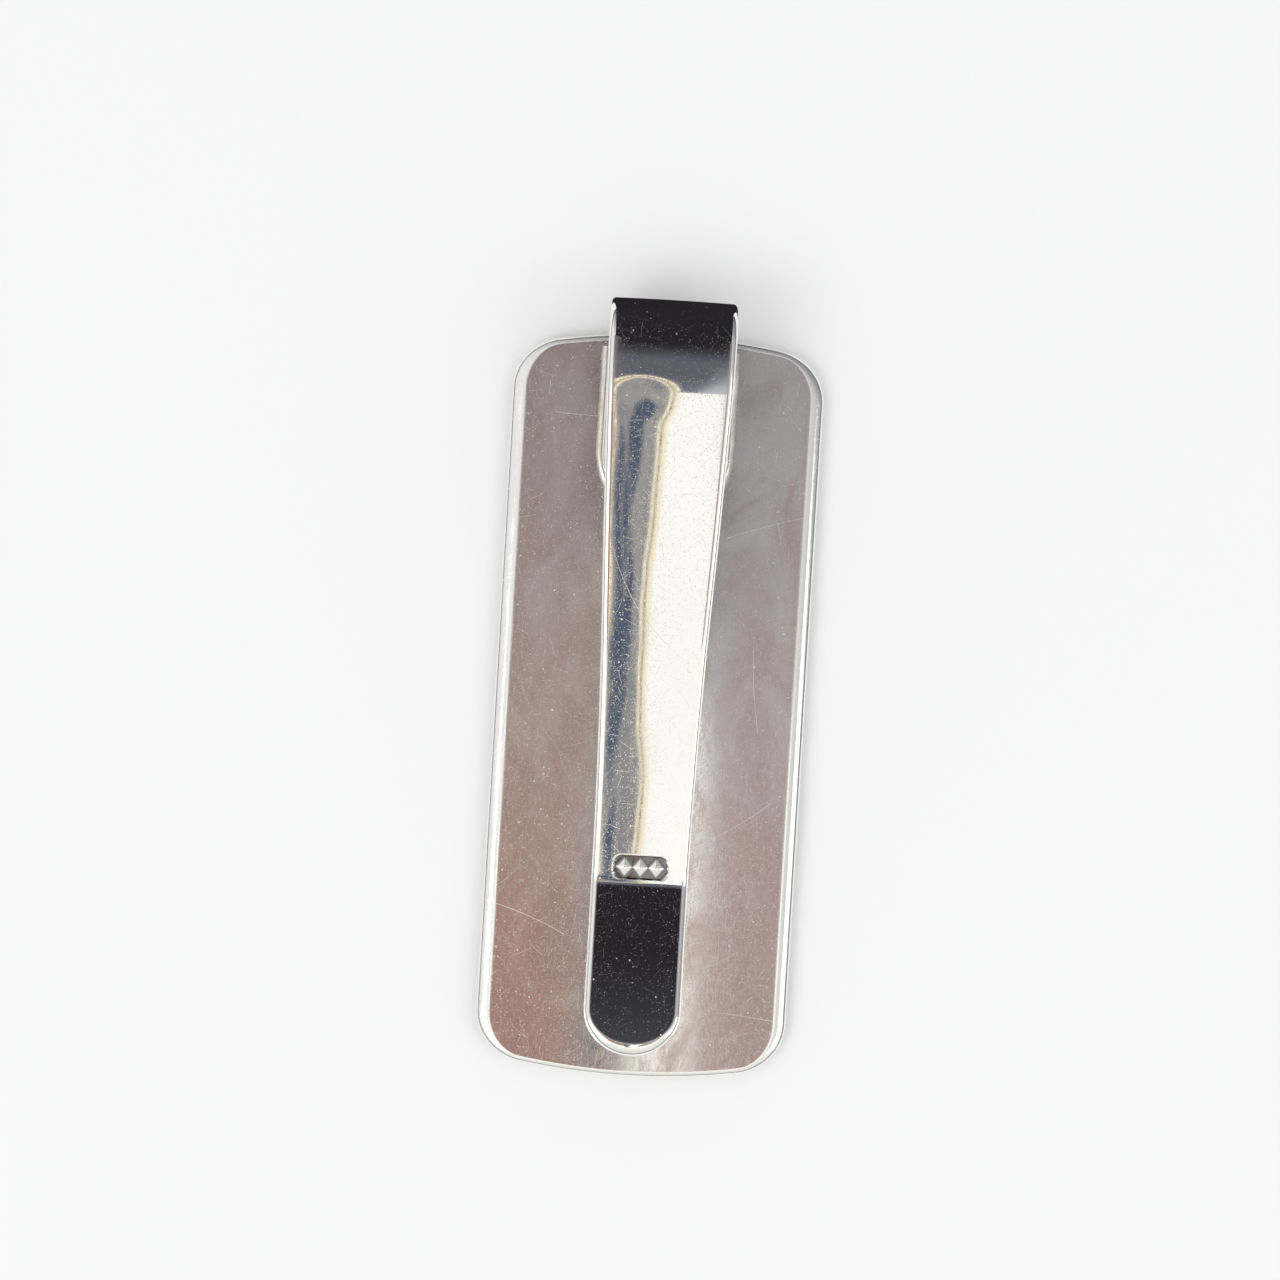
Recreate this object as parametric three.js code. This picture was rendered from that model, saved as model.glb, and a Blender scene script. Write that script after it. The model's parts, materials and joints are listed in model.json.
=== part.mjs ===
// A silver money clip: a wide cushion-shaped front plate, and a narrow spring strip that is soldered
// to the plate's inner face, doubles back over the plate's end and presses the notes against it.
//
// Millimetres. +Z is up and +Y points to the closed end, where the strip doubles back. The clip lies
// on the outer face of its front plate. The origin is under the middle of the whole clip, in the
// plane of that outer face.

import * as THREE from "three";
import { mergeVertices } from "three/addons/utils/BufferGeometryUtils.js";

// Overall size
const overallLength = 42.4;
const plateWidth = 17.0;

// Front plate
const plateThickness = 1.15;
const plateSetback = 1.8; // from the crown of the bend to the plate's near end
const plateEndRadius = 38.5; // the gentle bow of each end
const plateCornerRadius = 2.85;
const plateSideRim = 0.8; // how far the rounded edge reaches in, along the sides
const plateEndRim = 0.3; // and along the ends

// Spring strip
const stripThickness = 0.95;
const stripRim = 0.3; // how far the strip's rounded edge reaches in
const bendInnerRadius = 1.35;
const footLength = 9.4; // the straight run that is soldered to the plate
const bendWidth = 6.85; // the foot and the bend
const shoulderWidth = 6.4;
const waistWidth = 5.6;
const tipWidth = 5.25; // from the kink to the rounded tip
const shoulderShare = 0.28; // of the way from the bend to the kink
const waistShare = 0.64;
const archRadius = 24.0; // the tongue leaves the bend in a long, flat arch
const archRise = THREE.MathUtils.degToRad(3); // the tongue still climbs this much at the arch's start
const tipRoundLength = 2.5; // length of the rounded end of the tongue
const tipSetback = 1.5; // from the plate's free end back to the tongue's tip
const kinkFromTip = 9.4; // where the tongue turns up again, measured along the clip
const kinkRadius = 3.0;
const flareAngle = THREE.MathUtils.degToRad(9);

// Solder seam under and around the foot
const solderThickness = 0.1;
const solderFillet = 0.4; // width of the bead that shows around the foot
const solderEndMargin = 0.35; // the seam stops this far before the plate's rounded end

// Clearances
const faceGap = 0.02; // between faces that lie on each other
const restGap = 0.3; // under the kink when the clip is empty
const splitGap = 0.3; // between the two halves of the bend, at the flexing line

// How finely curves are divided
const arcSteps = 10;
const runSteps = 18;
const rimSteps = 3;
const joinTolerance = 1e-4; // points closer than this are one point

// Levels and places that follow from the sizes above
const crownY = overallLength / 2;
const freeEndY = -overallLength / 2;
const plateLength = overallLength - plateSetback;
const plateMiddleY = (freeEndY + crownY - plateSetback) / 2;
const solderBottomZ = plateThickness + faceGap;
const footBottomZ = solderBottomZ + solderThickness + faceGap;
const bendRadius = bendInnerRadius + stripThickness / 2; // of the strip's middle surface
const bendY = crownY - bendInnerRadius - stripThickness;
const footZ = footBottomZ + stripThickness / 2;
const bendZ = footZ + bendRadius;
const tipY = freeEndY + tipSetback;
const kinkY = tipY + kinkFromTip;
const kinkZ = plateThickness + restGap + stripThickness / 2;

// The arch goes on from the bend without a corner, so its centre lies on the line through the bend's
// centre and their common point.
const archCentreY = bendY - (archRadius - bendRadius) * Math.sin(archRise);
const archCentreZ = bendZ - (archRadius - bendRadius) * Math.cos(archRise);

// The tongue's straight run is the common tangent of the arch and the kink, so its slope follows
// from the two circles.
const centresY = archCentreY - kinkY;
const centresZ = kinkZ + kinkRadius - archCentreZ;
const tongueSlope =
  Math.asin((archRadius + kinkRadius) / Math.hypot(centresY, centresZ)) -
  Math.atan2(centresZ, centresY);
const tongueRun = Math.sqrt(
  centresY ** 2 + centresZ ** 2 - (archRadius + kinkRadius) ** 2,
);
const flareStartY = kinkY - kinkRadius * Math.sin(flareAngle);
const flareRun = (flareStartY - tipY) / Math.cos(flareAngle);

// The strip's middle line, seen from the side, as runs with a length and a total turn.
const bendTurn = Math.PI - archRise;
const archTurn = archRise + tongueSlope;
const kinkTurn = tongueSlope + flareAngle;
const runs = [
  { length: footLength, turn: 0 },
  { length: bendRadius * bendTurn, turn: bendTurn },
  { length: archRadius * archTurn, turn: archTurn },
  { length: tongueRun, turn: 0 },
  { length: kinkRadius * kinkTurn, turn: -kinkTurn },
  { length: flareRun, turn: 0 },
];
const stations = runs.reduce((ends, run) => [...ends, ends.at(-1) + run.length], [0]);
const [footEnd, bendStart, archStart, , kinkStart, flareStart, tipEnd] = stations;
const flexStation = bendStart + (bendRadius * Math.PI) / 2; // at the crown

/** Where the middle line is at a station, as { y, z, heading }. */
function middleLine(station) {
  let y = bendY - footLength;
  let z = footZ;
  let heading = 0;
  let left = station;
  for (const { length, turn } of runs) {
    const step = Math.min(left, length);
    const turned = (turn * step) / length;
    const chord = turn === 0 ? step : ((2 * length) / turn) * Math.sin(turned / 2);
    y += chord * Math.cos(heading + turned / 2);
    z += chord * Math.sin(heading + turned / 2);
    heading += turned;
    left -= step;
    if (left <= 0) break;
  }
  return { y, z, heading };
}

/** A point of the formed strip from its place in the flat blank. */
function onStrip(across, station, up) {
  const { y, z, heading } = middleLine(station);
  return new THREE.Vector3(
    across,
    y - up * Math.sin(heading),
    z + up * Math.cos(heading),
  );
}

/** The right-hand edge of the tongue, from where it starts to narrow at the end of the bend to the kink. */
function tongueSides() {
  const narrowing = kinkStart - archStart;
  const widths = new THREE.SplineCurve([
    new THREE.Vector2(bendWidth / 2, archStart),
    new THREE.Vector2(shoulderWidth / 2, archStart + shoulderShare * narrowing),
    new THREE.Vector2(waistWidth / 2, archStart + waistShare * narrowing),
    new THREE.Vector2(tipWidth / 2, kinkStart),
  ]);
  return widths.getPoints(runSteps);
}

/**
 * One edge of a sheet, as points (half width, station), becomes a closed sheet with rounded rims.
 * The other edge is its mirror image. Where the edge starts or ends on the middle, the sheet has a
 * rounded end there, and where it stops short of the middle, the sheet is cut square.
 * rimAt gives how far the rounding reaches in where the edge faces the direction it is given, and
 * formed puts a point of the flat sheet in its final position.
 */
function sheetSolid(edge, thickness, rimAt, formed) {
  const rings = edge.map((point, i) => {
    const rim = rimAt(outwards(edge, i));
    return rimRing(point, outwards(edge, i), rim, thickness);
  });
  const middleOf = (ring) => ring.map(([, station, up]) => [0, station, up]);
  if (!isOnMiddle(edge[0])) rings.unshift(middleOf(rings[0]));
  if (!isOnMiddle(edge.at(-1))) rings.push(middleOf(rings.at(-1)));
  const positions = [];
  for (const mirror of [1, -1]) {
    for (let i = 0; i < rings.length - 1; i++) {
      for (let k = 0; k < rings[0].length - 1; k++) {
        const quad = [[i, k], [i + 1, k], [i + 1, k + 1], [i, k + 1]];
        if (mirror < 0) quad.reverse();
        for (const corner of [0, 1, 2, 0, 2, 3]) {
          const [ring, place] = quad[corner];
          const [across, station, up] = rings[ring][place];
          positions.push(...formed(mirror * across, station, up).toArray());
        }
      }
    }
  }
  return closedGeometry(positions);
}

const isOnMiddle = (point) => point.x < joinTolerance;

/** The direction that the edge faces at a point, in the plane of the sheet. */
function outwards(edge, i) {
  const point = edge[i];
  if (isOnMiddle(point)) return new THREE.Vector2(0, i === 0 ? -1 : 1);
  const along = new THREE.Vector2();
  if (i > 0) along.add(point.clone().sub(edge[i - 1]).normalize());
  if (i < edge.length - 1) along.add(edge[i + 1].clone().sub(point).normalize());
  return new THREE.Vector2(along.y, -along.x).normalize();
}

/** The sheet's section at an edge point: middle, lower face, round the rim, upper face, middle. */
function rimRing(point, out, rim, thickness) {
  const half = thickness / 2;
  const rounding = Math.min(half, rim);
  const ring = [];
  for (const side of [-1, 1]) {
    for (let k = 0; k <= rimSteps; k++) {
      const angle = ((side < 0 ? k - rimSteps : k) / rimSteps) * (Math.PI / 2);
      const inset = rim * (1 - Math.cos(angle));
      const up = side * (half - rounding) + rounding * Math.sin(angle);
      ring.push([Math.max(point.x - inset * out.x, 0), point.y - inset * out.y, up]);
    }
  }
  const [, lowStation, low] = ring[0];
  const [, highStation, high] = ring.at(-1);
  return [[0, lowStation, low], ...ring, [0, highStation, high]];
}

/** Joins a triangle soup into one indexed geometry and drops the triangles that closed up. */
function closedGeometry(positions) {
  const soup = new THREE.BufferGeometry();
  soup.setAttribute("position", new THREE.Float32BufferAttribute(positions, 3));
  const geometry = mergeVertices(soup, joinTolerance);
  const index = geometry.index.array;
  const kept = [];
  for (let i = 0; i < index.length; i += 3) {
    const [a, b, c] = index.subarray(i, i + 3);
    if (a !== b && b !== c && c !== a) kept.push(a, b, c);
  }
  geometry.setIndex(kept);
  geometry.computeVertexNormals();
  return geometry;
}

/** The right-hand edge of the front plate, from its free end round to the end under the bend. */
function plateEdge() {
  const cornerX = plateWidth / 2 - plateCornerRadius;
  const innerRadius = plateEndRadius - plateCornerRadius;
  const join = Math.asin(cornerX / innerRadius);
  const bowY = plateLength / 2 - plateEndRadius;
  const cornerY = bowY + innerRadius * Math.cos(join);
  const edge = new THREE.Path();
  edge.absarc(0, -bowY, plateEndRadius, -Math.PI / 2, join - Math.PI / 2);
  edge.absarc(cornerX, -cornerY, plateCornerRadius, join - Math.PI / 2, 0);
  edge.absarc(cornerX, cornerY, plateCornerRadius, 0, Math.PI / 2 - join);
  edge.absarc(0, bowY, plateEndRadius, Math.PI / 2 - join, Math.PI / 2);
  const points = edge.getPoints(arcSteps / 2);
  return points.filter((point, i) => i === 0 || point.distanceTo(points[i - 1]) > joinTolerance);
}

function frontPlate() {
  const rimAt = (out) => THREE.MathUtils.lerp(plateEndRim, plateSideRim, out.x ** 2);
  const flat = (across, along, up) => new THREE.Vector3(across, along, up);
  return sheetSolid(plateEdge(), plateThickness, rimAt, flat);
}

/** The strip's rim reaches in as far all round. */
const rimOfStrip = () => stripRim;

/** A straight stretch of the strip's edge, parted into even steps. */
function straightEdge(halfWidth, from, to, steps) {
  return Array.from(
    { length: steps + 1 },
    (_, i) => new THREE.Vector2(halfWidth, THREE.MathUtils.lerp(from, to, i / steps)),
  );
}

/** A round end of the strip as a quarter of an oval, from the middle to the side. */
function roundEnd(halfWidth, from, length) {
  return Array.from({ length: arcSteps + 1 }, (_, i) => {
    const angle = (i / arcSteps) * (Math.PI / 2);
    return new THREE.Vector2(
      halfWidth * Math.sin(angle),
      from + length * (1 - Math.cos(angle)),
    );
  });
}

/** The foot on the plate, and the lower half of the bend. */
function springFoot() {
  const half = bendWidth / 2;
  const cut = flexStation - splitGap / 2;
  const edge = [
    ...roundEnd(half, footEnd, half),
    ...straightEdge(half, bendStart, cut, arcSteps),
  ];
  return sheetSolid(edge, stripThickness, rimOfStrip, onStrip);
}

/** The upper half of the bend, and the tongue as far as its upturned tip. */
function springTongue() {
  const cut = flexStation + splitGap / 2;
  const tip = roundEnd(tipWidth / 2, 0, tipRoundLength)
    .reverse()
    .map((point) => new THREE.Vector2(point.x, tipEnd - point.y));
  const edge = [
    ...straightEdge(bendWidth / 2, cut, archStart, arcSteps).slice(0, -1),
    ...tongueSides(),
    ...straightEdge(tipWidth / 2, kinkStart, flareStart, rimSteps).slice(1),
    ...tip,
  ];
  return sheetSolid(edge, stripThickness, rimOfStrip, onStrip);
}

/** The solder between the foot and the plate, with the bead that shows around the foot. */
function solderSeam() {
  const half = bendWidth / 2 + solderFillet;
  const roundY = bendY - footLength + bendWidth / 2;
  const backY = crownY - plateSetback - plateEndRim - solderEndMargin;
  const outline = new THREE.Shape();
  outline.absarc(0, roundY, half, Math.PI, 2 * Math.PI);
  outline.lineTo(half, backY);
  outline.lineTo(-half, backY);
  outline.closePath();
  return new THREE.ExtrudeGeometry(outline, {
    depth: solderThickness,
    bevelEnabled: false,
    curveSegments: 2 * arcSteps,
  });
}

const silver = { color: 0xe4e2dc, metalness: 1 };
const polished = new THREE.MeshStandardMaterial({ ...silver, roughness: 0.12 });
const handled = new THREE.MeshStandardMaterial({ ...silver, roughness: 0.18 });
const solder = new THREE.MeshStandardMaterial({
  color: 0xc9c6be,
  metalness: 1,
  roughness: 0.35,
});

const clip = new THREE.Group();

/** Adds one named piece to the clip. */
function addPiece(name, geometry, material, y = 0, z = 0) {
  const piece = new THREE.Mesh(geometry, material);
  piece.name = name;
  piece.position.set(0, y, z);
  clip.add(piece);
}

addPiece("front_plate", frontPlate(), handled, plateMiddleY, plateThickness / 2);
addPiece("solder_seam", solderSeam(), solder, 0, solderBottomZ);
addPiece("spring_foot", springFoot(), polished);
addPiece("spring_tongue", springTongue(), polished);

export default clip;
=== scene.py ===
"""The looks of a sterling-silver money clip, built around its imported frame.

The clip is a wide front plate and a spring strip that is soldered to the plate's inner face, doubles
back over the plate's end and comes down as a tongue. Each sheet piece starts as a flat blank with
rounded rims, as a silversmith would saw and file it, and Geometry Nodes give it its hand finish and
bend it to shape. Everything is in metres, in the frame's own axes: +Z up, +Y to the closed end.
"""

import json
import logging
import math
from collections.abc import Callable
from dataclasses import dataclass
from enum import Enum

import bpy
import bmesh
import numpy as np
from mathutils import Matrix, Vector


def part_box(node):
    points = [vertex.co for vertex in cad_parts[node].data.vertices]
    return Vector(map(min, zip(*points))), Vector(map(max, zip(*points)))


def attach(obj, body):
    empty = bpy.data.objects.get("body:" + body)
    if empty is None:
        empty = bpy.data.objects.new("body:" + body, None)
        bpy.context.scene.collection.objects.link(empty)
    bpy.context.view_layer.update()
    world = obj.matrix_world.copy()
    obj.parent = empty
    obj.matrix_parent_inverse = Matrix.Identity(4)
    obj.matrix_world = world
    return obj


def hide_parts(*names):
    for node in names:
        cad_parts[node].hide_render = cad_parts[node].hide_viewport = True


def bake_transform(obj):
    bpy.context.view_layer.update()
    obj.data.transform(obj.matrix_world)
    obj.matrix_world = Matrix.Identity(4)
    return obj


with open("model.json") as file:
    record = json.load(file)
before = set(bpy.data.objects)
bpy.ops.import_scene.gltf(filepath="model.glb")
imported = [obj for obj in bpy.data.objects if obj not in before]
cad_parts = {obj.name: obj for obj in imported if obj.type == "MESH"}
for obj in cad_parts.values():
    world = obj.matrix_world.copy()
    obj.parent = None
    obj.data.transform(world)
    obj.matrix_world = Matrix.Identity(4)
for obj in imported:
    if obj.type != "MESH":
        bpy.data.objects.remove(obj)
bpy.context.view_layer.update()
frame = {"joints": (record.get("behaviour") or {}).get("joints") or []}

log = logging.getLogger("money_clip")

Colour = tuple[float, float, float]
Place = tuple[float, float, float]

MM = 0.001

# An edge point that is nearer the middle than this lies on it.
ON_MIDDLE = 1e-9

# Points nearer each other than these are merged, in a mesh and in the solder's film, and an edge
# shorter than the last is dissolved.
DOUBLED = 1e-7
FILM_DOUBLED = 1e-6
COLLAPSED = 1e-8

# Faces that meet at more than this stay crisp.
CREASE = math.radians(40)


class Body(Enum):
    """The bodies that pieces ride on."""

    PLATE = "plate"
    TONGUE = "tongue"


class Slot(Enum):
    """The record's material slots."""

    POLISHED = "polished_silver"
    HANDLED = "handled_silver"
    SOLDER = "silver_solder"


# --------------------------------------------------------------------------------------
# Sizes
# --------------------------------------------------------------------------------------


@dataclass(frozen=True)
class PlateSizes:
    """The front plate's sizes. Its box comes from the frame."""

    width: float
    length: float
    thickness: float
    middle_y: float
    end_radius: float = 38.5 * MM
    corner_radius: float = 2.85 * MM
    side_rim: float = 0.85 * MM
    end_rim: float = 0.36 * MM

    @classmethod
    def from_frame(cls) -> "PlateSizes":
        """Reads the plate's box."""
        low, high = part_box("front_plate")
        return cls(high.x - low.x, high.y - low.y, high.z - low.z, (low.y + high.y) / 2)


@dataclass(frozen=True)
class StripSizes:
    """The spring strip's sizes, and the runs of its middle line seen from the side.

    The hinge of the frame lies 2/pi of the bend's radius from its centre, so the bend's place and
    radius follow from the hinge and from the foot's underside.
    """

    foot_y: float
    foot_z: float
    hinge_y: float
    hinge_z: float
    tip_y: float
    plate_top: float
    thickness: float = 0.95 * MM
    rim: float = 0.3 * MM
    rest_gap: float = 0.3 * MM
    arch_radius: float = 24.0 * MM
    arch_rise: float = math.radians(3.0)
    kink_from_tip: float = 9.4 * MM
    kink_radius: float = 3.0 * MM
    flare: float = math.radians(9.0)
    bend_width: float = 6.85 * MM
    shoulder_width: float = 6.4 * MM
    waist_width: float = 5.6 * MM
    tip_width: float = 5.25 * MM
    shoulder_share: float = 0.28
    waist_share: float = 0.64
    tip_round: float = 2.5 * MM

    @classmethod
    def from_frame(cls) -> "StripSizes":
        """Reads the hinge and the boxes of the strip's two solids.

        Returns:
            The strip's sizes.
        """
        foot_low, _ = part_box("spring_foot")
        tongue_low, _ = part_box("spring_tongue")
        _, plate_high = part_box("front_plate")
        hinge = Vector(frame["joints"][0]["pos_m"])
        return cls(foot_low.y, foot_low.z, hinge.y, hinge.z, tongue_low.y, plate_high.z)

    @property
    def start_z(self) -> float:
        """Height of the middle line along the foot."""
        return self.foot_z + self.thickness / 2

    @property
    def bend_radius(self) -> float:
        """Radius of the bend's middle line."""
        return self.hinge_z - self.start_z

    @property
    def bend_y(self) -> float:
        """Where the foot ends and the bend starts."""
        return self.hinge_y - 2 / math.pi * self.bend_radius

    @property
    def foot_length(self) -> float:
        """The straight run on the plate."""
        return self.bend_y - self.foot_y

    @property
    def turns(self) -> tuple[float, float, float]:
        """How much the bend, the arch and the kink turn, in radians."""
        return math.pi - self.arch_rise, self.arch_rise + self.slope, self.slope + self.flare

    @property
    def kink_y(self) -> float:
        """Where the tongue comes closest to the plate."""
        return self.tip_y + self.kink_from_tip

    def _centres(self) -> tuple[float, float]:
        """How far the kink's centre lies from the arch's centre.

        Returns:
            The distance towards the tip, and the distance up.
        """
        reach = self.arch_radius - self.bend_radius
        arch_y = self.bend_y - reach * math.sin(self.arch_rise)
        arch_z = self.hinge_z - reach * math.cos(self.arch_rise)
        kink_z = self.plate_top + self.rest_gap + self.thickness / 2 + self.kink_radius
        return arch_y - self.kink_y, kink_z - arch_z

    @property
    def slope(self) -> float:
        """Fall of the tongue's straight run: the common tangent of arch and kink.

        Returns:
            The angle in radians.
        """
        across, up = self._centres()
        both = self.arch_radius + self.kink_radius
        return math.asin(both / math.hypot(across, up)) - math.atan2(up, across)

    @property
    def stations(self) -> dict[str, float]:
        """Distance along the middle line at which each run starts.

        Returns:
            The distance by the run's name, and the whole length as the tip's.
        """
        across, up = self._centres()
        bend, arch, kink = self.turns
        run = math.sqrt(across**2 + up**2 - (self.arch_radius + self.kink_radius) ** 2)
        flare_y = self.kink_y - self.kink_radius * math.sin(self.flare)
        run_before = {
            "bend": self.foot_length,
            "arch": self.bend_radius * bend,
            "run": self.arch_radius * arch,
            "kink": run,
            "flare": self.kink_radius * kink,
            "tip": (flare_y - self.tip_y) / math.cos(self.flare),
        }
        at, starts = 0.0, {"foot": 0.0}
        for name, length in run_before.items():
            at += length
            starts[name] = at
        return starts

    def half_width(self, stations: np.ndarray) -> np.ndarray:
        """Half the strip's width: steady to the end of the bend, then drawn in to the kink.

        Args:
            stations: Distances along the middle line.

        Returns:
            The half width at each.
        """
        at = self.stations
        narrowing = at["kink"] - at["arch"]
        knots = np.array(
            [
                at["arch"],
                at["arch"] + self.shoulder_share * narrowing,
                at["arch"] + self.waist_share * narrowing,
                at["kink"],
            ]
        )
        widths = np.array([self.bend_width, self.shoulder_width, self.waist_width, self.tip_width])
        return smooth_through(knots, widths / 2, np.clip(stations, knots[0], knots[-1]))


def smooth_through(knots: np.ndarray, values: np.ndarray, at: np.ndarray) -> np.ndarray:
    """A smooth curve through a few values that never overshoots them, level at both ends.

    Args:
        knots: Where the values hold, rising.
        values: The values there.
        at: Where to read the curve.

    Returns:
        The curve at those places.
    """
    slopes = np.gradient(values, knots)
    slopes[0] = slopes[-1] = 0.0
    i = np.clip(np.searchsorted(knots, at) - 1, 0, len(knots) - 2)
    width = knots[i + 1] - knots[i]
    t = (at - knots[i]) / width
    return (
        values[i] * (1 + 2 * t) * (1 - t) ** 2
        + values[i + 1] * t**2 * (3 - 2 * t)
        + slopes[i] * width * t * (1 - t) ** 2
        - slopes[i + 1] * width * t**2 * (1 - t)
    )


# --------------------------------------------------------------------------------------
# Flat blanks
# --------------------------------------------------------------------------------------


@dataclass(frozen=True)
class StruckMark:
    """A plain struck cartouche with three pips, in place of a fineness mark."""

    station: float
    length: float = 1.3 * MM
    width: float = 2.9 * MM
    depth: float = 0.14 * MM
    wall: float = 0.11 * MM
    pip: float = 0.5 * MM
    pip_spacing: float = 0.86 * MM
    pip_squash: float = 0.8
    pip_slope: float = 1.3
    pip_height: float = 0.9

    @property
    def corner(self) -> float:
        """Radius of the cartouche's corners."""
        return self.length / 3

    def sunk(self, across: np.ndarray, station: np.ndarray) -> np.ndarray:
        """How deep the punch went at each point, from 0 to 1.

        Args:
            across: Places across the strip.
            station: Places along the strip.

        Returns:
            The depth as a share of the punch's full depth.
        """
        along = station - self.station
        out_x = np.abs(across) - (self.width / 2 - self.corner)
        out_y = np.abs(along) - (self.length / 2 - self.corner)
        outside = np.hypot(np.maximum(out_x, 0), np.maximum(out_y, 0))
        field_edge = outside + np.minimum(np.maximum(out_x, out_y), 0) - self.corner
        field_depth = self._ramp(-field_edge)
        raised = np.zeros_like(across)
        for place in (-1, 0, 1):
            lozenge = np.abs(across - place * self.pip_spacing) + np.abs(along) * self.pip_squash
            raised = np.maximum(raised, np.clip(self.pip_slope * (1 - lozenge / self.pip), 0, 1))
        return field_depth * (1 - self.pip_height * raised)

    def _ramp(self, inside: np.ndarray) -> np.ndarray:
        """Soft wall of the punch, from 0 outside to 1 inside."""
        t = np.clip(inside / self.wall + 0.5, 0, 1)
        return t * t * (3 - 2 * t)


@dataclass
class Blank:
    """A flat sheet with rounded rims, from one edge and its mirror image.

    The edge is an array of (half width, station) points. Where it starts or ends on the middle the
    sheet has a rounded end, and elsewhere it is cut square. Vertices are (across, station, up), and
    the show face looks down.
    """

    name: str
    edge: np.ndarray
    thickness: float
    show_rim: Callable[[np.ndarray], np.ndarray]
    back_rim: Callable[[np.ndarray], np.ndarray]
    show_crown: float = math.inf
    back_crown: float = math.inf
    mark: StruckMark | None = None
    show_columns: int = 90
    back_columns: int = 30
    rim_steps: int = 14

    def _outwards(self) -> np.ndarray:
        """The direction that the edge faces at each point.

        Returns:
            A unit direction, across and along, for each edge point.
        """
        steps = np.diff(self.edge, axis=0)
        steps /= np.linalg.norm(steps, axis=1)[:, None]
        along = np.vstack([steps[:1], steps[:-1] + steps[1:], steps[-1:]])
        along /= np.linalg.norm(along, axis=1)[:, None]
        out = np.column_stack([along[:, 1], -along[:, 0]])
        on_middle = self.edge[:, 0] < ON_MIDDLE
        ends = np.where(np.arange(len(out)) < len(out) / 2, -1.0, 1.0)
        out[on_middle] = np.column_stack([np.zeros(len(out)), ends])[on_middle]
        return out

    def _height(self, across: np.ndarray, side: int) -> np.ndarray:
        """How far a face lies from the sheet's middle layer, less towards the sides where it is crowned."""
        crown = self.back_crown if side > 0 else self.show_crown
        return self.thickness / 2 - across**2 / (2 * crown)

    def _face(self, rim: np.ndarray, out: np.ndarray, columns: int, side: int) -> list[np.ndarray]:
        """One face from right to left, inside its rim.

        Args:
            rim: Width of the rim at each edge point.
            out: The edge's outward directions.
            columns: How many cells lie across the face.
            side: 1 for the back, which looks up, and -1 for the show face.

        Returns:
            Across, station and up for each edge point and column.
        """
        half_width = np.maximum(self.edge[:, :1] - rim[:, None] * out[:, :1], 0.0)
        station = self.edge[:, 1:] - rim[:, None] * out[:, 1:]
        across = half_width * np.linspace(1, -1, columns + 1)
        return [across, station + 0 * across, side * self._height(across, side)]

    def _rim(self, rim: np.ndarray, out: np.ndarray, side: int) -> list[np.ndarray]:
        """One face's rounded rim on the right, from its face to the middle of the edge.

        Args:
            rim: Width of the rim at each edge point.
            out: The edge's outward directions.
            side: 1 for the back, and -1 for the show face.

        Returns:
            Across, station and up for each edge point and step of the rounding.
        """
        top = self._height(np.maximum(self.edge[:, :1] - rim[:, None] * out[:, :1], 0.0), side)
        rounding = np.minimum(top, rim[:, None])
        angle = np.linspace(math.pi / 2, 0, self.rim_steps + 1)[1:]
        inset = rim[:, None] * (1 - np.cos(angle))
        across = np.maximum(self.edge[:, :1] - inset * out[:, :1], 0.0)
        station = self.edge[:, 1:] - inset * out[:, 1:]
        return [across, station, side * (top - rounding + rounding * np.sin(angle))]

    def _rings(self) -> np.ndarray:
        """A closed ring of points round the sheet for each edge point: back, left, show, right.

        Returns:
            The points, by edge point, place in the ring, and axis.
        """
        out = self._outwards()
        back_rim, show_rim = self.back_rim(out), self.show_rim(out)
        back = self._face(back_rim, out, self.back_columns, 1)
        show = self._face(show_rim, out, self.show_columns, -1)
        back_edge, show_edge = self._rim(back_rim, out, 1), self._rim(show_rim, out, -1)
        left = [np.hstack([down, up[:, -2::-1]]) for down, up in zip(back_edge, show_edge)]
        right = [part.copy() for part in left]
        left[0] *= -1
        show = [part[:, ::-1] for part in show]
        right = [part[:, ::-1] for part in right]
        return np.stack([np.hstack(parts) for parts in zip(back, left, show, right)], axis=2)

    def build(self) -> bpy.types.Object:
        """Makes the blank's mesh object.

        Returns:
            The object, with point attributes: "strike", how deep the punch went, and "rim", 1 on the
            rounded rims and 0 on the faces.
        """
        rings = self._rings()
        count, around = rings.shape[:2]
        strike, rim = np.zeros((count, around)), np.ones((count, around))
        # The two rims share the point in the middle of the edge.
        show_from = self.back_columns + 1 + 2 * self.rim_steps - 1
        on_show = slice(show_from, show_from + self.show_columns + 1)
        rim[:, : self.back_columns + 1] = rim[:, on_show] = 0.0
        if self.mark is not None:
            strike[:, on_show] = self.mark.sunk(rings[:, on_show, 0], rings[:, on_show, 1])
            rings[:, on_show, 2] += self.mark.depth * strike[:, on_show]
        index = np.arange(count * around).reshape(count, around)
        ahead = np.roll(index, -1, axis=1)
        quads = np.stack([index[:-1], ahead[:-1], ahead[1:], index[1:]], axis=2).reshape(-1, 4)
        faces = quads.tolist()
        if self.edge[0, 0] > ON_MIDDLE:
            faces.append(index[0, ::-1].tolist())
        if self.edge[-1, 0] > ON_MIDDLE:
            faces.append(index[-1].tolist())
        mesh = bpy.data.meshes.new(self.name)
        mesh.from_pydata(rings.reshape(-1, 3).tolist(), [], faces)
        for key, values in (("strike", strike), ("rim", rim)):
            mesh.attributes.new(key, "FLOAT", "POINT").data.foreach_set("value", values.ravel())
        close_mesh(mesh)
        return new_object(self.name, mesh)


def new_object(name: str, mesh: bpy.types.Mesh) -> bpy.types.Object:
    """Puts a mesh in the scene as an object at the origin.

    Args:
        name: The object's name.
        mesh: Its mesh.

    Returns:
        The object.
    """
    made = bpy.data.objects.new(name, mesh)
    bpy.context.scene.collection.objects.link(made)
    return made


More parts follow.
